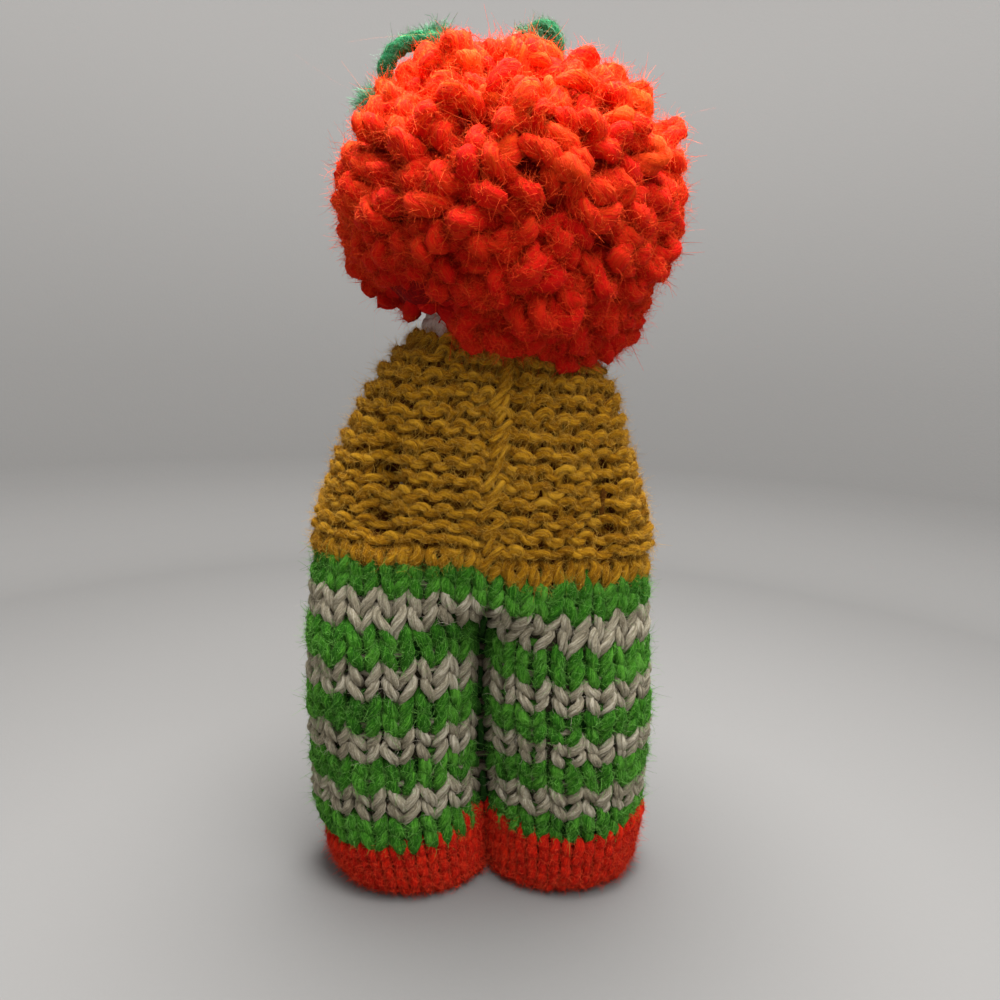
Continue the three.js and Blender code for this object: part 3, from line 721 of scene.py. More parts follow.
# ------------------------------------------------------------------ shoes
def on_shoe(side):
    """One shoe: the leg's oval, rounded under at the toe and heel. q is the
    height while positive, and the way inwards under the sole when negative."""
    def surface(s, q):
        turned = np.sin(TAU * s)
        q = q + (-2.6 if side > 0 else 2.2) * smoothstep(turned) * smoothstep((q - 3) / 9)
        z = np.clip(q, 0.6, None)
        i = np.interp(z, ZS, half_width)
        j = np.interp(z, ZS, half_depth)
        c = i / 2 + 0.1
        under = np.clip(0.6 - q, 0, None)
        shrink_a = np.clip(1 - under / c, 0.02, 1)
        shrink_b = np.clip(1 - under / j, 0.02, 1)
        ang = TAU * s
        dx, dy = np.sin(ang) * side, np.cos(ang)
        # the inner edge rises where the two shoes meet
        rise = 2.6 * np.exp(-(((1 + dx * side * side) / 0.55) ** 2)) if side > 0 else 2.6 * np.exp(-(((1 - dx) / 0.55) ** 2))
        z = z + rise * smoothstep(z / 12)
        p = np.stack([side * (c - 0.25) + (c + 0.15) * shrink_a * dx + sway(z), j * shrink_b * dy, z - 0.45 * smoothstep(under / 2)], -1)
        flat = smoothstep((2.6 - q) / 3.0)
        n = np.stack([dx / c * (1 - flat), dy / j * (1 - flat), -0.12 * flat + 0.0 * s], -1)
        n = n + 1e-6
        return p, n / np.linalg.norm(n, axis=-1, keepdims=True)
    return surface


for side, name in ((1, "left"), (-1, "right")):
    surface = on_shoe(side)
    knit = Knit(surface, 22, 0.92, 0.8, 3, 12.0, 0.14, k=10, steps=18, jitter=0.8, spread=0.14, reach=0.95)
    pitch = 2.4
    for r in range(9):
        z = SHOE_TOP - pitch * (r + 0.5)
        if z > -9.5:
            knit.row(z, pitch, 1, 400 + r + 20 * side, s_shift=0.25, lean=0.4)
    cloud = Cloud()
    close_rows(cloud, knit.rows)
    loose = Cloud()
    for r, (pts, yarn, tone, C, N, deep) in enumerate(knit.rows[:6]):
        fuzz(loose, pts[None], C[None], N[None], 5200, 700 + r + 10 * side, length=(0.5, 1.2) if r == 0 else (0.7, 1.9), width=0.045,
             deep=deep[None], curl=0.7)
    finish(cloud.make(f"shoe_{name}_knit", MAT["orange"]), "body", "shoe_orange_yarn", f"shoe_{name}")
    finish(loose.make(f"shoe_{name}_fuzz", MAT["orange"]), "body", "shoe_orange_yarn")
    inside = Cloud()
    shell(inside, surface, -11.0, SHOE_TOP, 0.92 + 0.9, n=72)
    finish(inside.make(f"shoe_{name}_inside", LINING["orange"]), "body", "shoe_orange_yarn")

# ------------------------------------------------------------------ sweater
SW_COUNT = 34
SW_ROWS = 14
SW_PITCH = (SWEATER_TOP - WAIST) / SW_ROWS
knit = Knit(on_body, SW_COUNT, 0.98, 0.8, 3, 12.0, 0.2, k=SIDES, steps=STEPS, jitter=1.0, spread=0.2)
for r in range(SW_ROWS):
    z = WAIST + SW_PITCH * (r + 0.5)
    if r == 0:
        knit.row(z, SW_PITCH * 1.05, 1, 500, s_shift=0.5 / SW_COUNT, yarn_r=0.98, spread=0.22, reach=0.9, lean=0.3)
    else:
        narrow = float(np.interp(z, ZS, ROUND)) / SW_COUNT
        knit.row(z, SW_PITCH, -1, 500 + r, s_shift=0.5 / SW_COUNT, yarn_r=min(0.98, 0.2 * narrow + 0.16),
                 depth=min(0.8, 0.2 * narrow + 0.04), reach=0.7)

pieces = {"sweater_torso": Cloud(), "sweater_arm_left": Cloud(), "sweater_arm_right": Cloud()}
loose = {key: Cloud() for key in pieces}
for r, (pts, yarn, tone, C, N, deep) in enumerate(knit.rows):
    # the torso and the two arms meet at the stitched lines
    X = C[:, 0] - sway(C[:, 2])
    zone = np.where(X > 20.65, 1, np.where(X < -20.65, 2, 0))
    edge = np.flatnonzero(zone != np.roll(zone, 1))
    total = len(zone)
    if len(edge) == 0:
        pieces["sweater_torso"].grid(pts[None], yarn[None], tone[None], True, True, deep=deep)
    else:
        for a, b in zip(edge, np.roll(edge, -1)):
            span = (b - a) % total or total
            idx = (a + np.arange(span + 1)) % total
            key = ("sweater_torso", "sweater_arm_left", "sweater_arm_right")[zone[a]]
            pieces[key].grid(pts[idx][None], yarn[idx][None], tone[idx][None], False, True, deep=deep[idx])
    for key, mask in (("sweater_torso", zone == 0), ("sweater_arm_left", zone == 1), ("sweater_arm_right", zone == 2)):
        n = int(6000 * mask.mean())
        idx = np.flatnonzero(mask)
        if n and len(idx) > 8:
            fuzz(loose[key], pts[idx][None], C[idx][None], N[idx][None], n, 1300 + r * 4 + len(key),
                 length=(0.7, 1.9), width=0.04, deep=deep[idx][None], curl=0.8)
for key, cloud in pieces.items():
    finish(cloud.make(key + "_knit", MAT["mustard"]), "body", "sweater_mustard_yarn", key)
    finish(loose[key].make(key + "_fuzz", MAT["mustard"]), "body", "sweater_mustard_yarn")
inside = Cloud()
shell(inside, on_body, WAIST - 0.2, SWEATER_TOP + 0.6, 0.98 + 0.82 + 0.3)
finish(inside.make("sweater_inside", LINING["mustard"]), "body", "sweater_mustard_yarn")

# ------------------------------------------------------------------ head and neck
HEAD_COUNT = 26
knit = Knit(on_head, HEAD_COUNT, 0.98, 0.75, 3, 12.0, 0.12, k=10, steps=STEPS, jitter=0.6, spread=0.21, reach=0.9)
rows = 13
lat = np.linspace(-64, 78, rows)
for r, deg in enumerate(lat):
    z = HEAD_C[2] + HEAD_R[2] * math.sin(math.radians(deg))
    pitch = HEAD_R[2] * (math.radians(lat[1] - lat[0])) * max(0.35, math.cos(math.radians(deg)))
    narrow = TAU * 19.5 * max(0.2, math.cos(math.radians(deg))) / HEAD_COUNT
    knit.row(z, max(pitch, 1.2), 1, 600 + r, yarn_r=min(0.98, 0.24 * narrow + 0.1), depth=min(0.75, 0.2 * narrow))
cloud = Cloud()
close_rows(cloud, knit.rows)
for r, (pts, yarn, tone, C, N, deep) in enumerate(knit.rows):
    fuzz(cloud, pts[None], C[None], N[None], 500, 1700 + r, length=(0.6, 1.8), width=0.03, deep=deep[None])
finish(cloud.make("head_knit_yarn", MAT["skin"]), "head", "skin_yarn", "head_knit")
inside = Cloud()
shell(inside, on_head, 110.5, 147.4, 1.75, n=90)
finish(inside.make("head_inside", LINING["skin"]), "head", "skin_yarn")


# neck: a gathered collar about the pivot, the same shape at every pose
def on_neck(s, z):
    t = np.clip((z - PIVOT[2]) / 14.2, -0.9, 0.9)
    r = 14.0 * np.sqrt(1 - t * t)
    ang = TAU * s
    pleat = 1 + 0.035 * np.cos(14 * ang)
    dx, dy = np.sin(ang), np.cos(ang)
    low = 0.07 * (1 - smoothstep((z - 105.0) / 3.0))
    wide = 0.79 - low + 0.19 * smoothstep((z - 107.4) / 3.4)
    p = np.stack([r * pleat * dx * wide, r * pleat * dy * (0.77 - low), z + 0 * s], -1)
    p[..., 0] += 3.0 * smoothstep((z - 108.4) / 2.2) * np.clip(dx, 0, 1) ** 2
    n = np.stack([dx, dy, t + 0 * s], -1)
    return p, n / np.linalg.norm(n, axis=-1, keepdims=True)


knit = Knit(on_neck, 26, 0.86, 0.6, 3, 10.0, 0.1, k=8, steps=STEPS, jitter=0.7, spread=0.2, reach=0.9)
for r, z in enumerate((103.2, 105.6, 108.0, 110.4, 112.8, 115.2)):
    knit.row(z, 2.6, 1, 660 + r)
cloud = Cloud()
close_rows(cloud, knit.rows)
for r, (pts, yarn, tone, C, N, deep) in enumerate(knit.rows):
    fuzz(cloud, pts[None], C[None], N[None], 300, 1750 + r, length=(0.6, 1.6), width=0.03, deep=deep[None])
shell(cloud, on_neck, 101.5, 117.5, 1.5, n=80)
finish(cloud.make("neck_knit", MAT["skin"]), "neck_core", "skin_yarn", "stuffing_neck")
ring = np.linspace(0, TAU, 110, endpoint=False)
C = np.stack([(11.5 + 0.45 * np.cos(14 * ring)) * np.sin(ring), (10.9 + 0.45 * np.cos(14 * ring)) * np.cos(ring),
              108.3 + 0.3 * np.sin(5 * ring)], -1)
pts, yarn, tone = yarn_rings(C[None], np.full((1, 110), 0.6), closed=True, k=8, plies=3, turn=6.0, lobe=0.15, seed=5)
cloud = Cloud()
# painted shade: a depth of 0.4 turns the ring most of the way to the dark shade colour under the hair
cloud.grid(pts, yarn, tone, True, True, deep=np.full(pts.shape[:3], 0.4))
finish(cloud.make("neck_gather", MAT["skin"]), "neck_ring", "skin_yarn", "neck_gather_yarn")


# ------------------------------------------------------------------ face
def on_front(x, z, out):
    h = (z - HEAD_C[2]) / HEAD_R[2]
    y = -HEAD_R[1] * np.sqrt(np.clip(1 - (x / HEAD_R[0]) ** 2 - h * h, 0, None))
    n = unit(np.stack([x / HEAD_R[0] ** 2, y / HEAD_R[1] ** 2, (z - HEAD_C[2]) / HEAD_R[2] ** 2], -1))
    return np.stack([x, y, z], -1) + n * np.asarray(out)[..., None], n


for side, name in ((1, "left"), (-1, "right")):
    cloud = Cloud()
    lines = []
    for k in range(7):
        off = (k - 3) * 0.52
        t = np.linspace(-1, 1, 12)
        tall = 1.9 * math.sqrt(max(0.15, 1 - (off / 2.1) ** 2))
        P, n = on_front(side * 6.6 + off + 0 * t, 129.5 + tall * t, 0.55 * np.sqrt(np.clip(1 - (0.92 * t) ** 4, 0, 1)) + 0.1)
        lines.append(P)
    C = np.array(lines)
    pts, yarn, tone = yarn_rings(C, np.full(C.shape[:2], 0.42), k=7, plies=2, turn=4, lobe=0.12, seed=30 + side)
    cloud.grid(pts, yarn, tone, False, True)
    finish(cloud.make(f"eye_{name}_stitches", MAT["eye"]), "head", "eye_black_yarn", f"eye_{name}")
cloud = Cloud()
lines = []
xs = np.linspace(-4.4, 4.4, 6)
for a, b in zip(xs[:-1], xs[1:]):
    x = np.linspace(a - 0.25, b + 0.25, 12)
    t = np.linspace(-1, 1, 12)
    P, n = on_front(x, 120.7 + 1.7 * (x / 4.4) ** 2, 0.5 * np.sqrt(np.clip(1 - t**4, 0, 1)) + 0.12)
    lines.append(P)
C = np.array(lines)
pts, yarn, tone = yarn_rings(C, np.full(C.shape[:2], 0.48), k=7, plies=2, turn=4, lobe=0.12, seed=40)
cloud.grid(pts, yarn, tone, False, True)
finish(cloud.make("mouth_stitches", MAT["mouth"]), "head", "mouth_red_yarn", "mouth")


# ------------------------------------------------------------------ hair
def ray_out(D, c, R):
    """Distance from the head's centre along D to an ellipsoid centred at height c."""
    o = HEAD_C[2] - c
    a = ((D / R) ** 2).sum(-1)
    b = 2 * o * D[..., 2] / R[2] ** 2
    cc = (o / R[2]) ** 2 - 1
    return (-b + np.sqrt(b * b - 4 * a * cc)) / (2 * a)


def on_face(D):
    """Whether the direction meets the bare front of the head."""
    return (np.abs(D[:, 0]) < 0.77) & (D[:, 1] < 0) & (D[:, 2] < 0.37)


def hair_points(n, seed):
    """Even directions over the part of the head that carries hair."""
    r = np.random.default_rng(seed)
    i = np.arange(n)
    zz = 1 - 2 * (i + 0.5) / n
    az = i * math.pi * (3 - math.sqrt(5))
    D = np.stack([np.sqrt(1 - zz**2) * np.cos(az), np.sqrt(1 - zz**2) * np.sin(az), zz], -1)
    D = unit(D + r.normal(size=D.shape) * 0.04)
    el = np.degrees(np.arcsin(D[:, 2]))
    return D[(el > -55) & ~on_face(D)]


HAIR_YARN_R = 1.85
T = hair_points(640, 11)
# a few loops that stand out of the rest: one bright one low at the back, one
# that points to the right at the nape, and two swells on the right side
EXTRA = np.array([[-5.2, 26.0, -14.0], [-30.0, 9.0, -21.5], [-22.0, 7.0, 29.0], [-31.0, 5.0, 21.5], [-6.0, 23.0, -23.0],
                  [20.5, 1.0, 31.5], [23.5, 1.5, 28.0], [17.0, 2.0, 34.0], [13.5, 3.0, 35.5], [-31.0, 2.0, 18.0],
                  [9.5, 19.5, -20.0], [4.5, 21.0, -22.5], [-0.5, 22.0, -23.5]])
STAND = np.array([3.4, 2.8, 1.8, 2.9, 0.4, 2.0, 1.6, 2.0, 1.2, 1.4, 1.6, 1.8, 1.4])
# a second, shorter layer closes the gaps low at the back and sides, and above the face
low = hair_points(520, 14)
low = low[((low[:, 2] < 0.1) & (low[:, 1] > -0.5)) | ((low[:, 1] < -0.4) & (low[:, 2] > 0.42) & (low[:, 2] < 0.8))]
# rows of loops round the face, one above the other, cover the sides of the rest
rim_r = np.random.default_rng(15)
along = np.linspace(0, 1, 27)
rim_x = np.interp(along, [0, 0.28, 0.72, 1], [0.79, 0.79, -0.79, -0.79])
rim_z = np.interp(along, [0, 0.28, 0.72, 1], [-0.46, 0.39, 0.39, -0.62])
away_x = np.interp(along, [0, 0.26, 0.32, 0.68, 0.74, 1], [1, 1, 0, 0, -1, -1])
away_z = 1 - np.abs(away_x)


def rim_at(off):
    x = rim_x + off * away_x + rim_r.normal(size=27) * 0.03
    z = rim_z + off * away_z + rim_r.normal(size=27) * 0.03
    return unit(np.stack([x, -np.sqrt(np.clip(1 - x * x - z * z, 0.01, None)), z], -1))


rim_tip = np.concatenate([rim_at(o) for o in (0.0, 0.02, 0.04, 0.07, 0.11)])
rim_foot = np.concatenate([rim_at(o + 0.26) for o in (0.0, 0.02, 0.04, 0.07, 0.11)])
rim_high = np.repeat([1.4, 3.5, 5.8, 8.2, 10.6], 27) + rim_r.normal(size=135) * 0.5
T = np.concatenate([unit(EXTRA), T, low, rim_tip])
rim = np.arange(len(T)) >= len(T) - len(rim_tip)
short = (np.arange(len(T)) >= len(T) - len(rim_tip) - len(low)) & ~rim
rnd = np.random.default_rng(12)
n, own = len(T), len(EXTRA)
up = np.array([0, 0, 1.0])
t1 = unit(np.cross(T, rnd.normal(size=(n, 3))))
# each loop starts higher on the head than its tip lies, and leans at random
el_t = np.degrees(np.arcsin(T[:, 2]))
back = smoothstep((T[:, 1] + 0.3) / 0.4)
rise = rnd.uniform(0.02, 0.3, n) * np.clip((80 - el_t) / 60, 0.1, 1.2) + 0.16 * smoothstep((-8 - el_t) / 22) * back
over = unit(up - T[:, 2:3] * T)
side = np.cross(T, over)
D = unit(T + over * rise[:, None] + side * rnd.normal(size=(n, 1)) * 0.2 + t1 * rnd.normal(size=(n, 1)) * 0.1)
D = np.where(on_face(D)[:, None], T, D)
D[rim] = rim_foot
r_in = ray_out(D, HEAD_C[2], HEAD_R) - 0.8
base = HEAD_C + D * r_in[:, None]
tan1 = unit(np.cross(D, rnd.normal(size=(n, 3))))
tan2 = np.cross(D, tan1)
base[rim] += D[rim] * (0.75 * rim_high)[:, None]
reach_out = ray_out(T, HAIR_C, HAIR_R) - HAIR_YARN_R - np.abs(rnd.normal(size=n)) * 1.9 + 1.3 * (rnd.random(n) < 0.2)
hang = back * smoothstep((0.32 - T[:, 0]) / 0.3)
reach_out = reach_out + 1.8 * smoothstep((-18 - el_t) / 20) * hang - 1.2 * smoothstep((el_t - 55) / 20)
reach_out[short] -= 2.2
# a hollow high on the left, where the bow's end lies
reach_out -= 1.2 * np.exp(-(1 - T @ unit(np.array([25.3, 1.0, 24.0]))) / 0.014)
# and one behind the top bow, which stands free of the loops
reach_out -= 3.0 * np.exp(-(1 - T @ unit(np.array([-5.2, 0.5, 31.0]))) / 0.012)
reach_out[:own] = ray_out(T[:own], HAIR_C, HAIR_R) - HAIR_YARN_R + STAND
reach_out[rim] = np.minimum(ray_out(rim_tip, HEAD_C[2], HEAD_R) + rim_high, ray_out(rim_tip, HAIR_C, HAIR_R) - HAIR_YARN_R)
tip = HEAD_C + T * reach_out[:, None]
tip[:, 2] -= 1.8 * smoothstep((10 - el_t) / 40) * (0.25 + 0.75 * hang)
# the hair is shorter low down on the left
tip[:, 2] += 4.2 * smoothstep((T[:, 0] - 0.3) / 0.3) * smoothstep((-4 - el_t) / 24)
# the loops round the face point out of it and not away from the head
aim = unit(tip - base)
tan1[rim] = unit(np.cross(aim, rnd.normal(size=(n, 3))))[rim]
tan2[rim] = np.cross(aim, tan1)[rim]
M = 24
t = np.linspace(0, 1, M)[None, :, None]
width = rnd.uniform(1.7, 3.2, (n, 1, 1))
swell = rnd.uniform(0.1, 0.8, (n, 1, 1))
tight = (smoothstep((12 - el_t) / 30) * back)[:, None, None]
width = width * (1 - tight) + tight * rnd.uniform(1.5, 2.3, (n, 1, 1))
swell = swell * (1 - 0.6 * tight)
width[rim] = rnd.uniform(1.3, 2.0, (int(rim.sum()), 1, 1))
width[0], swell[0] = 2.0, 0.5
f = np.sin(np.pi * t) ** 0.62
spin = rnd.uniform(-1.3, 1.3, (n, 1, 1)) * f
wdir = tan1[:, None, :] * np.cos(spin) + tan2[:, None, :] * np.sin(spin)
g = np.cos(np.pi * t) * (1 + swell * f) * width
axis = (tip - base)[:, None, :]
bow_side = unit(np.cross(axis, wdir))
C = base[:, None, :] + axis * f + wdir * g + bow_side * (rnd.normal(size=(n, 1, 1)) * 1.3 * np.sin(np.pi * t))
C = C + 0.4 * np.sin(TAU * (t * rnd.uniform(1, 2.5, (n, 1, 1)) + rnd.random((n, 1, 1)))) * tan2[:, None, :]
R = HAIR_YARN_R * (1 + 0.13 * rnd.normal(size=(n, 1)))
R = R * (1 + 0.08 * np.sin(TAU * (t[..., 0] * rnd.uniform(2, 4, (n, 1)) + rnd.random((n, 1)))))
shade = rnd.normal(size=(n, 1)) * 1.3 * np.ones((1, M))
shade[0] = 3.0
az = np.degrees(np.arctan2(D[:, 1], D[:, 0])) % 360
el = np.degrees(np.arcsin(D[:, 2]))
section = np.full(n, 0)
section[(az > 38) & (az <= 142)] = 1
section[(az > 142) & (az <= 224)] = 2
section[(az > 224) & (az <= 316)] = 3
section[el > 52] = 4


def hair_depth(P):
    """1 at the outside of the hair, 0 at the head."""
    v = P - HEAD_C
    r = np.linalg.norm(v, axis=-1)
    d = v / (r[..., None] + 1e-9)
    lo = ray_out(d, HEAD_C[2], HEAD_R)
    hi = ray_out(d, HAIR_C, HAIR_R)
    return np.clip((r - lo - 2.2) / (hi - lo - 4.2), 0, 1)


def hair_shade(P):
    """Painted shade by height: low down, where the loops shade one another, the colour turns darker and a deeper red.
    """
    return np.interp(P[..., 2], [108, 120, 138, 150, 158], [0.2, 0.27, 0.43, 0.72, 0.95])


names = ["hair_left", "hair_back", "hair_right", "hair_fringe", "hair_crown"]
for i, node in enumerate(names):
    idx = np.flatnonzero(section == i)
    pts, yarn, tone = yarn_rings(C[idx], R[idx], k=11, plies=3, turn=11.5, lobe=0.18, shade=shade[idx],
                                 n0=D[idx], seed=60 + i, rough=0.07)
    # painted shade: the hair turns darker deep inside it and lower down
    cover = np.maximum(hair_depth(pts), 0.5 * rim[idx][:, None, None])
    deep = cover * hair_shade(pts)
    cloud, loose = Cloud(), Cloud()
    cloud.grid(pts, yarn, tone, False, True, deep=deep)
    out = np.broadcast_to(D[idx][:, None, :], C[idx].shape)
    mid = slice(M // 6, 5 * M // 6)
    fuzz(loose, pts[:, mid], C[idx][:, mid], out[:, mid], min(240 * len(idx), 46000), 80 + i, length=(0.6, 1.9), width=0.05,
         curl=1.1, deep=deep[:, mid], lying=0.82, pale=0.01, cover=cover[:, mid])
    # long thin stray hairs
    r = np.random.default_rng(160 + i)
    m = 45
    pick, at = r.integers(0, len(idx), m), r.integers(M // 3, 2 * M // 3, m)
    q = r.integers(0, pts.shape[2], m)
    P = pts[pick, at, q]
    fibres(loose, P, unit(0.6 * out[pick, at] + r.normal(size=(m, 3)) * 0.6), r.uniform(2.0, 5.0, m), 0.028, 1.3, 170 + i, steps=9,
           tone=1.2, pale=0.7)
    finish(cloud.make(node + "_loops", MAT["hair"]), "head", "hair_orange_yarn", node)
    finish(loose.make(node + "_fuzz", MAT["hair"]), "head", "hair_orange_yarn")

# the base of the loops, where they crowd together on the head; its deep red colour is painted shade seen in the gaps
# between the loops
az_s = np.linspace(0, TAU, 160, endpoint=False)
el_s = np.radians(np.linspace(-50, 90, 60))
A, E = np.meshgrid(az_s, el_s)
DD = np.stack([np.cos(E) * np.cos(A), np.cos(E) * np.sin(A), np.sin(E)], -1)
room = ray_out(DD, HAIR_C, HAIR_R) - ray_out(DD, HEAD_C[2], HEAD_R)
thick = np.clip(0.56 * room - 1.0, 0.6, 6.2) * (1 + 0.2 * np.sin(9 * A + 3 * np.sin(4 * E)) * np.cos(11 * E))
bare = smoothstep((0.78 - np.abs(DD[..., 0])) / 0.12) * (DD[..., 1] < 0) * smoothstep((math.radians(28) - E) / 0.2)
low = smoothstep((E + math.radians(46)) / 0.3)
thick = thick * (1 - bare) * low - 2.4 * np.maximum(bare, 1 - low)
P = HEAD_C + DD * (ray_out(DD, HEAD_C[2], HEAD_R) + thick)[..., None]
cloud = Cloud()
cloud.surface(P, (1, 0, 0), close_u=True)
finish(cloud.make("hair_base", LINING["hair"]), "head", "hair_orange_yarn")

# ------------------------------------------------------------------ sewing yarns
# centre back seam of the sweater: slanting stitches that draw the edges together
lines = []
rnd = np.random.default_rng(21)
z = WAIST + 1.0
while z < SWEATER_TOP - 3:
    tall = 4.2 + rnd.uniform(-0.8, 1.2)
    t = np.linspace(-1, 1, 14)
    x = -(0.95 + 0.35 * rnd.normal()) * t + 0.35 * rnd.normal() + 0.5
    zz = z + tall * 0.5 + tall * 0.5 * t
    P, N = on_body(x / float(np.interp(z, ZS, ROUND)), zz)
    out = -1.0 + 0.75 * np.sqrt(np.clip(1 - t**4, 0, 1)) + 0.12 * rnd.normal()
    lines.append(P + N * out[:, None])
    z += rnd.uniform(2.3, 3.6)
C = np.array(lines)
pts, yarn, tone = yarn_rings(C, np.full(C.shape[:2], 0.86) * rnd.uniform(0.85, 1.1, (len(C), 1)), k=SIDES, plies=3, turn=12,
                             lobe=0.17, seed=51, shade=rnd.normal(size=(len(C), 1)) * np.ones((1, 14)))
cloud = Cloud()
# painted shade: a depth of 0.75 darkens the seam a little towards the dark shade colour
cloud.grid(pts, yarn, tone, False, True, deep=np.full(pts.shape[:3], 0.75))
fuzz(cloud, pts, C, C * 0 + np.array([0, 1.0, 0]), 900, 52, length=(0.8, 2.0), width=0.034)
finish(cloud.make("back_seam", MAT["mustard"]), "body", "seam_yarn", "back_seam_yarn")

for side, name in ((1, "left"), (-1, "right")):
    x = side * 20.9
    depth = 7.4 if side > 0 else 9.2
    corner = np.array([[x, -depth, 77.6], [x, depth, 77.6], [x, depth - 0.4, 84.4], [x, -depth + 0.4, 84.4]])
    loop = []
    for a in range(4):
        p, q = corner[a], corner[(a + 1) % 4]
        loop += [p + (q - p) * f for f in np.linspace(0, 1, 12, endpoint=False)]
    C = gauss(np.array(loop), 1.6, axis=0, wrap=True)
    C[:, 0] += sway(C[:, 2])
    pts, yarn, tone = yarn_rings(C[None], np.full((1, len(C)), 0.7), closed=True, k=8, plies=3, turn=10, lobe=0.16, seed=70 + side)
    cloud = Cloud()
    # painted shade: a depth of 0.25 turns the stitch mostly to the dark shade colour, sunk in the stitched line
    cloud.grid(pts, yarn, tone, True, True, deep=np.full(pts.shape[:3], 0.25))
    finish(cloud.make(f"arm_stitch_{name}_loop", MAT["mustard"]), "body", "seam_yarn", f"arm_stitch_{name}")

line = []
for i in range(8, 0, -1):
    z = WAIST - 2 * ROW * (i + 0.5)
    y = 2.9 if z < 52 else (4.6 if z < 56 else 9.0)
    first = 1 if i % 2 else -1
    line += [[0, first * y, z], [0, -first * y, z]]
line = np.array(line, float)
dense = []
for p, q in zip(line[:-1], line[1:]):
    dense += [p + (q - p) * f for f in np.linspace(0, 1, 8, endpoint=False)]
C = gauss(np.array(dense + [line[-1]]), 1.3, axis=0)
C[:, 0] += sway(C[:, 2])
pts, yarn, tone = yarn_rings(C[None], np.full((1, len(C)), 0.7), k=8, plies=3, turn=10, lobe=0.16, seed=77)
cloud = Cloud()
# painted shade: a depth of 0.2 turns the stitch between the legs mostly to the dark shade colour
cloud.grid(pts, yarn, tone, False, True, deep=np.full(pts.shape[:3], 0.2))
finish(cloud.make("leg_dividing_stitch", MAT["green"]), "body", "trouser_green_yarn", "leg_dividing_yarn")

t = np.linspace(0, TAU * 1.5, 40)
C = np.stack([(1.6 - 0.12 * t) * np.cos(t), (1.6 - 0.12 * t) * np.sin(t), 146.6 + 0.12 * t], -1)
pts, yarn, tone = yarn_rings(C[None], np.full((1, len(C)), 0.6), k=8, plies=3, turn=4, lobe=0.14, seed=78)
cloud = Cloud()
cloud.grid(pts, yarn, tone, False, True)
finish(cloud.make("crown_gather", MAT["skin"]), "head", "skin_yarn", "crown_gather_yarn")


# ------------------------------------------------------------------ stuffing
def wad(name, node, z0, z1, keep, flank, seed, inset=3.4):
    """A lumpy wad of fibre fill that fills its place inside the body's fabric.
    keep limits how far it reaches sideways, flank how thick it is there."""
    field = lumps(seed, 12, 6, 0.5)
    s = np.linspace(0, 1, 72, endpoint=False)
    zs = np.linspace(z0, z1, 34)
    S, Z = np.meshgrid(s, zs)
    P, N = on_body(S, Z)
    Q = P - N * (inset + 0.35 + 0.3 * field(S, Z))[..., None]
    X = Q[..., 0] - sway(Q[..., 2])
    Xc = np.clip(X, keep[0], keep[1])
    cut = np.abs(X - Xc) > 1e-6
    Q[..., 1] = np.where(cut, np.clip(Q[..., 1], -flank, flank), Q[..., 1])
    Q[..., 0] = Xc + sway(Q[..., 2])
    mid = Q.mean(axis=1, keepdims=True)
    e = np.linspace(0, 1, 34)
    pull = np.clip(np.minimum(e, 1 - e) / 0.14, 0, 1)
    pull = np.sqrt(1 - (1 - pull) ** 2)[:, None, None]
    Q = mid + (Q - mid) * np.maximum(pull, 0.01)
    cloud = Cloud()
    cloud.surface(Q, (1, 0, 0), close_u=True, flip=True)
    o = cloud.make(name, LINING["fill"])
    finish(o, "body", "fibre_fill", node)
    return o


wad("fill_leg_left", "stuffing_leg_left", 2.6, 60.5, (0.5, 99), 1.6, 90)
wad("fill_leg_right", "stuffing_leg_right", 2.6, 60.5, (-99, -0.5), 1.6, 91)
wad("fill_torso", "stuffing_torso", 61.0, 102.5, (-20.1, 20.1), 5.6, 92)
wad("fill_arm_left", "stuffing_arm_left", 69.0, 98.0, (21.2, 99), 5.6, 93)
wad("fill_arm_right", "stuffing_arm_right", 69.0, 98.0, (-99, -21.2), 5.6, 94)

field = lumps(95, 12, 6, 0.5)
s = np.linspace(0, 1, 72, endpoint=False)[None, :]
e = np.linspace(-math.pi / 2, math.pi / 2, 36)[:, None]
k = 0.875 + 0.012 * field(s, 10 * e)
P = np.stack([HEAD_R[0] * np.cos(e) * np.sin(TAU * s) * k, HEAD_R[1] * np.cos(e) * np.cos(TAU * s) * k,
              HEAD_C[2] + HEAD_R[2] * np.sin(e) * k], -1)
cloud = Cloud()
cloud.surface(P, (1, 0, 0), close_u=True, flip=True)
o = finish(cloud.make("fill_head", LINING["fill"]), "head", "fibre_fill", "stuffing_head")


# ------------------------------------------------------------------ bows
def spline(points, n):
    """A smooth line through points."""
    P = np.array(points, float)
    P = np.concatenate([[2 * P[0] - P[1]], P, [2 * P[-1] - P[-2]]])
    out = []
    seg = len(P) - 3
    for t in np.linspace(0, seg - 1e-9, n):
        i = int(t)
        f = t - i
        a, b, c, d = P[i:i + 4]
        out.append(0.5 * ((2 * b) + (c - a) * f + (2 * a - 5 * b + 4 * c - d) * f**2 + (3 * b - a - 3 * c + d) * f**3))
    return np.array(out)


def frayed(cloud, P, direction, seed, n=4200, length=(2.0, 5.0), spread=0.5, width=0.085, size=1.1):
    """The cut end of a yarn, opened into its fibres."""
    r = np.random.default_rng(seed)
    d = unit(direction + r.normal(size=(n, 3)) * spread)
    start = P + r.normal(size=(n, 3)) * size * [1.0, 0.7, 0.8] - direction * r.uniform(0, 2.2, (n, 1))
    fibres(cloud, start, d, r.uniform(length[0], length[1], n), width, 0.6, seed + 1, tone=0.3, pale=0.16)


BOW_R = 1.7


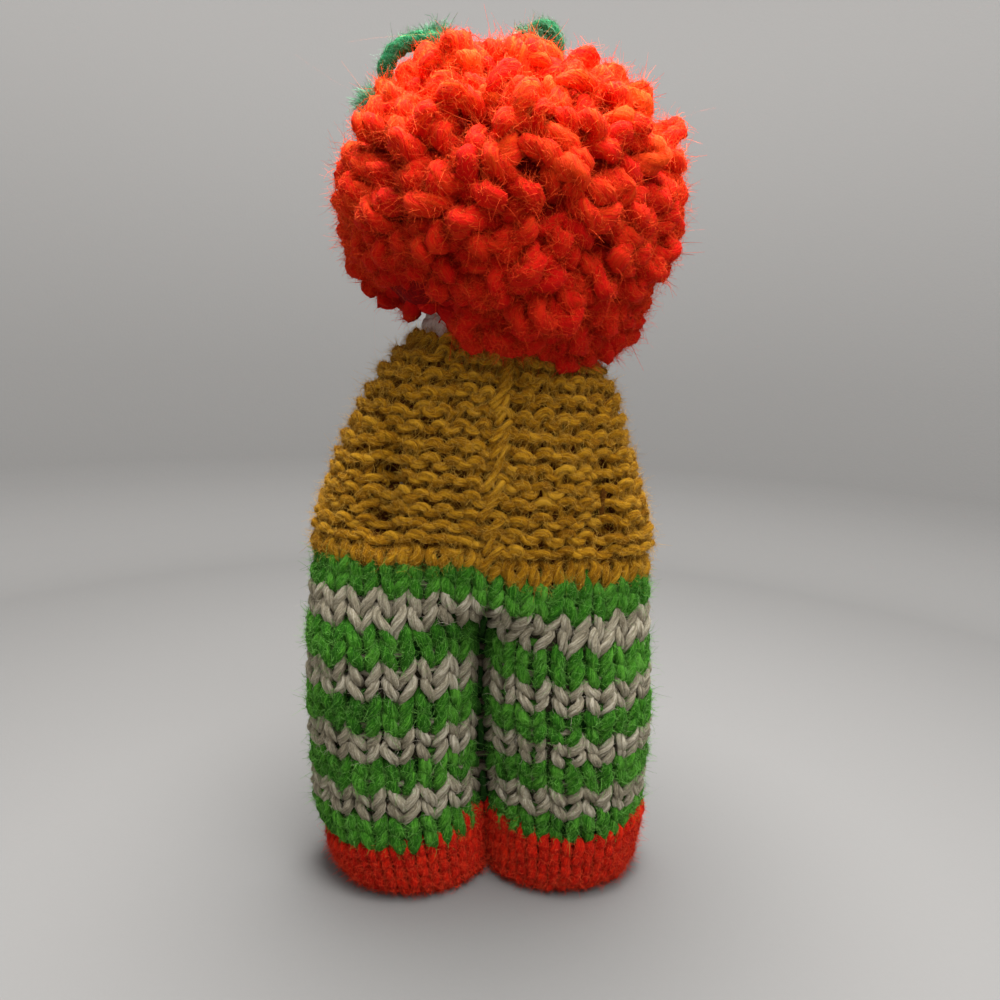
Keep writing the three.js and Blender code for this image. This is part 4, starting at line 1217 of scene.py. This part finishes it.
def bow(node, name, lines, ends, knot, seed):
    cloud = Cloud()
    for i, (pts_in, n) in enumerate(lines):
        C = spline(pts_in, n)[None]
        pts, yarn, tone = yarn_rings(C, np.full(C.shape[:2], BOW_R) * (0.97 + 0.05 * np.sin(np.linspace(0, 9, n))[None]),
                                     k=SIDES, plies=3, turn=8.0, lobe=0.18, seed=seed + i)
        cloud.grid(pts, yarn, tone, False, True)
        fuzz(cloud, pts, C, C * 0 + np.array([0, 0.3, 1.0]), 1100, seed + 40 + i, length=(0.8, 2.2), width=0.036, pale=0.12)
    for i, (p, d, size) in enumerate(ends):
        frayed(cloud, np.array(p, float), unit(np.array(d, float)), seed + 20 + i, length=size)
    # the knot: two turns of yarn pulled tight
    c = np.array(knot[:3], float)
    ax = unit(np.array(knot[3:], float))
    side = unit(np.cross(ax, [0.3, 0.2, 1.0]))
    other = np.cross(ax, side)
    t = np.linspace(0, TAU * 2, 40)[:, None]
    C = (c + (2.0 * np.cos(t) * side + 2.0 * np.sin(t) * other) + ax * (t / TAU - 1) * 1.5)[None]
    pts, yarn, tone = yarn_rings(C, np.full(C.shape[:2], BOW_R * 0.95), k=SIDES, plies=3, turn=8.0, lobe=0.18, seed=seed + 9)
    cloud.grid(pts, yarn, tone, False, True)
    finish(cloud.make(name, MAT["bow"]), "head", "bow_green_yarn", node)


# left bow: one loop arches over the hair to the doll's left, the other lies forward
K1 = [18.6, -10.5, 158.0]
bow("bow_left", "bow_left_tied", [
    ([K1, [22.4, -7.5, 156.2], [24.0, -5.0, 158.0], [22.6, -3.6, 161.2], [19.2, -3.0, 163.2], [15.4, -3.4, 163.8], [12.0, -5.0, 162.6], [13.4, -8.5, 159.6], K1], 50),
    ([K1, [14.8, -15.5, 157.6], [11.8, -20.0, 155.8], [13.6, -22.8, 152.6], [17.2, -21.2, 152.0], [18.2, -15.8, 154.8], K1], 40),
    ([K1, [21.6, -8.5, 154.6], [24.0, -6.0, 152.4], [26.2, -4.4, 152.2]], 18),
    ([K1, [16.6, -8.0, 162.0], [16.0, -5.6, 164.2], [14.6, -5.0, 165.0]], 18),
], [([26.0, -4.4, 152.4], [0.7, 0.1, 0.3], (0.8, 2.6)), ([14.2, -5.1, 164.8], [-0.1, 0.1, 1.0], (0.6, 2.0))], K1 + [0.7, 0.6, 0.2], 2000)
K2 = [-5.0, -9.5, 161.2]
bow("bow_top", "bow_top_tied", [
    ([K2, [-4.4, -7.0, 164.0], [-3.6, -5.2, 166.4], [-5.0, -4.4, 167.8], [-7.0, -4.4, 166.8], [-7.8, -5.2, 163.8], [-6.8, -8.4, 161.8], K2], 46),
    ([K2, [-8.4, -13.5, 160.6], [-11.6, -17.2, 158.0], [-10.4, -20.4, 155.8], [-6.6, -18.6, 157.6], [-4.6, -13.6, 160.2], K2], 40),
    ([K2, [-5.2, -6.6, 163.4], [-5.4, -4.6, 164.6], [-3.4, -4.4, 165.2], [-1.9, -4.9, 165.6]], 24),
    ([K2, [-8.0, -9.0, 161.0], [-11.2, -9.4, 160.2], [-13.6, -10.0, 158.4]], 18),
], [([-2.1, -4.9, 165.6], [0.8, 0.1, 0.2], (0.5, 1.4)), ([-13.6, -10.0, 158.4], [-0.9, 0.0, -0.3], (0.8, 2.2))], K2 + [0.2, 0.8, 0.3], 2100)

# ------------------------------------------------------------------ stage
def floor_material():
    m, nt = new_material("pale_floor")
    N, K = nt.nodes, nt.links
    out = N.new("ShaderNodeOutputMaterial"); bsdf = N.new("ShaderNodeBsdfPrincipled")
    tc = N.new("ShaderNodeTexCoord")
    n = N.new("ShaderNodeTexNoise"); n.inputs["Scale"].default_value = 900; n.inputs["Detail"].default_value = 2
    K.new(tc.outputs["Object"], n.inputs["Vector"])
    bm = N.new("ShaderNodeBump"); bm.inputs["Strength"].default_value = 0.12; bm.inputs["Distance"].default_value = 0.0004
    K.new(n.outputs["Fac"], bm.inputs["Height"]); K.new(bm.outputs[0], bsdf.inputs["Normal"])
    bsdf.inputs["Base Color"].default_value = (0.202, 0.2, 0.197, 1)
    bsdf.inputs["Roughness"].default_value = 0.9
    bsdf.inputs["Specular IOR Level"].default_value = 0.1
    K.new(bsdf.outputs[0], out.inputs["Surface"])
    return m


def stage():
    r = [0, 0.05, 0.1, 0.2, 0.26]
    z = [0, 0, 0, 0, 0]
    for a in np.linspace(0, math.pi / 2, 8)[1:]:
        r.append(0.26 + 0.05 * math.sin(a))
        z.append(0.05 * (1 - math.cos(a)))
    for h in (0.1, 0.2, 0.35, 0.55):
        r.append(0.31)
        z.append(h)
    t = np.linspace(0, TAU, 96, endpoint=False)
    r, z = np.array(r), np.array(z)
    r[0] = 0.0005
    P = np.stack([r[:, None] * np.cos(t), r[:, None] * np.sin(t), z[:, None] + 0 * t], -1) * 1000
    cloud = Cloud()
    cloud.surface(P, (1, 0, 0), close_u=True)
    o = cloud.make("floor", floor_material(), ground=0.0)
    o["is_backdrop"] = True


stage()

world = bpy.data.worlds.new("studio")
bpy.context.scene.world = world
world.use_nodes = True
world.node_tree.nodes["Background"].inputs[0].default_value = (1.0, 0.985, 0.97, 1)
world.node_tree.nodes["Background"].inputs[1].default_value = 0.25


def area(name, place, target, size, power, colour=(1, 1, 1)):
    light = bpy.data.lights.new(name, "AREA")
    light.shape = "DISK"
    light.size = size
    light.energy = power
    light.color = colour
    o = bpy.data.objects.new(name, light)
    o.location = place
    o.rotation_euler = (Vector(target) - Vector(place)).to_track_quat("-Z", "Y").to_euler()
    bpy.context.scene.collection.objects.link(o)


area("light_above", (-0.005, -0.01, 0.46), (0, 0, 0.12), 0.24, 4.7, (1, 0.985, 0.965))
area("light_right", (-0.07, 0.165, 0.34), (0, 0, 0.12), 0.24, 0.95)

# ------------------------------------------------------------------ camera
cam_data = bpy.data.cameras.new("camera")
cam_data.sensor_width = 36
cam_data.lens = 27.4
cam_data.clip_start = 0.005
camera = bpy.data.objects.new("camera", cam_data)
camera.rotation_mode = "XYZ"
PITCH, ROLL, YAW, DIST, HEIGHT, SHIFT = math.radians(10.0), math.radians(2.2), math.radians(5.0), 0.150, 0.1056, 0.0
away = Vector((math.sin(YAW), math.cos(YAW), 0))
forward = -away * math.cos(PITCH) - Vector((0, 0, 1)) * math.sin(PITCH)
right = forward.cross(Vector((0, 0, 1))).normalized()
upv = right.cross(forward)
basis = Matrix((right, upv, -forward)).transposed()
basis = basis @ Matrix.Rotation(ROLL, 3, "Z")
camera.matrix_world = Matrix.Translation(away * DIST + right * SHIFT + Vector((0, 0, HEIGHT))) @ basis.to_4x4()
bpy.context.scene.collection.objects.link(camera)
bpy.context.scene.camera = camera

bpy.context.scene.view_settings.view_transform = "Standard"

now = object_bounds()
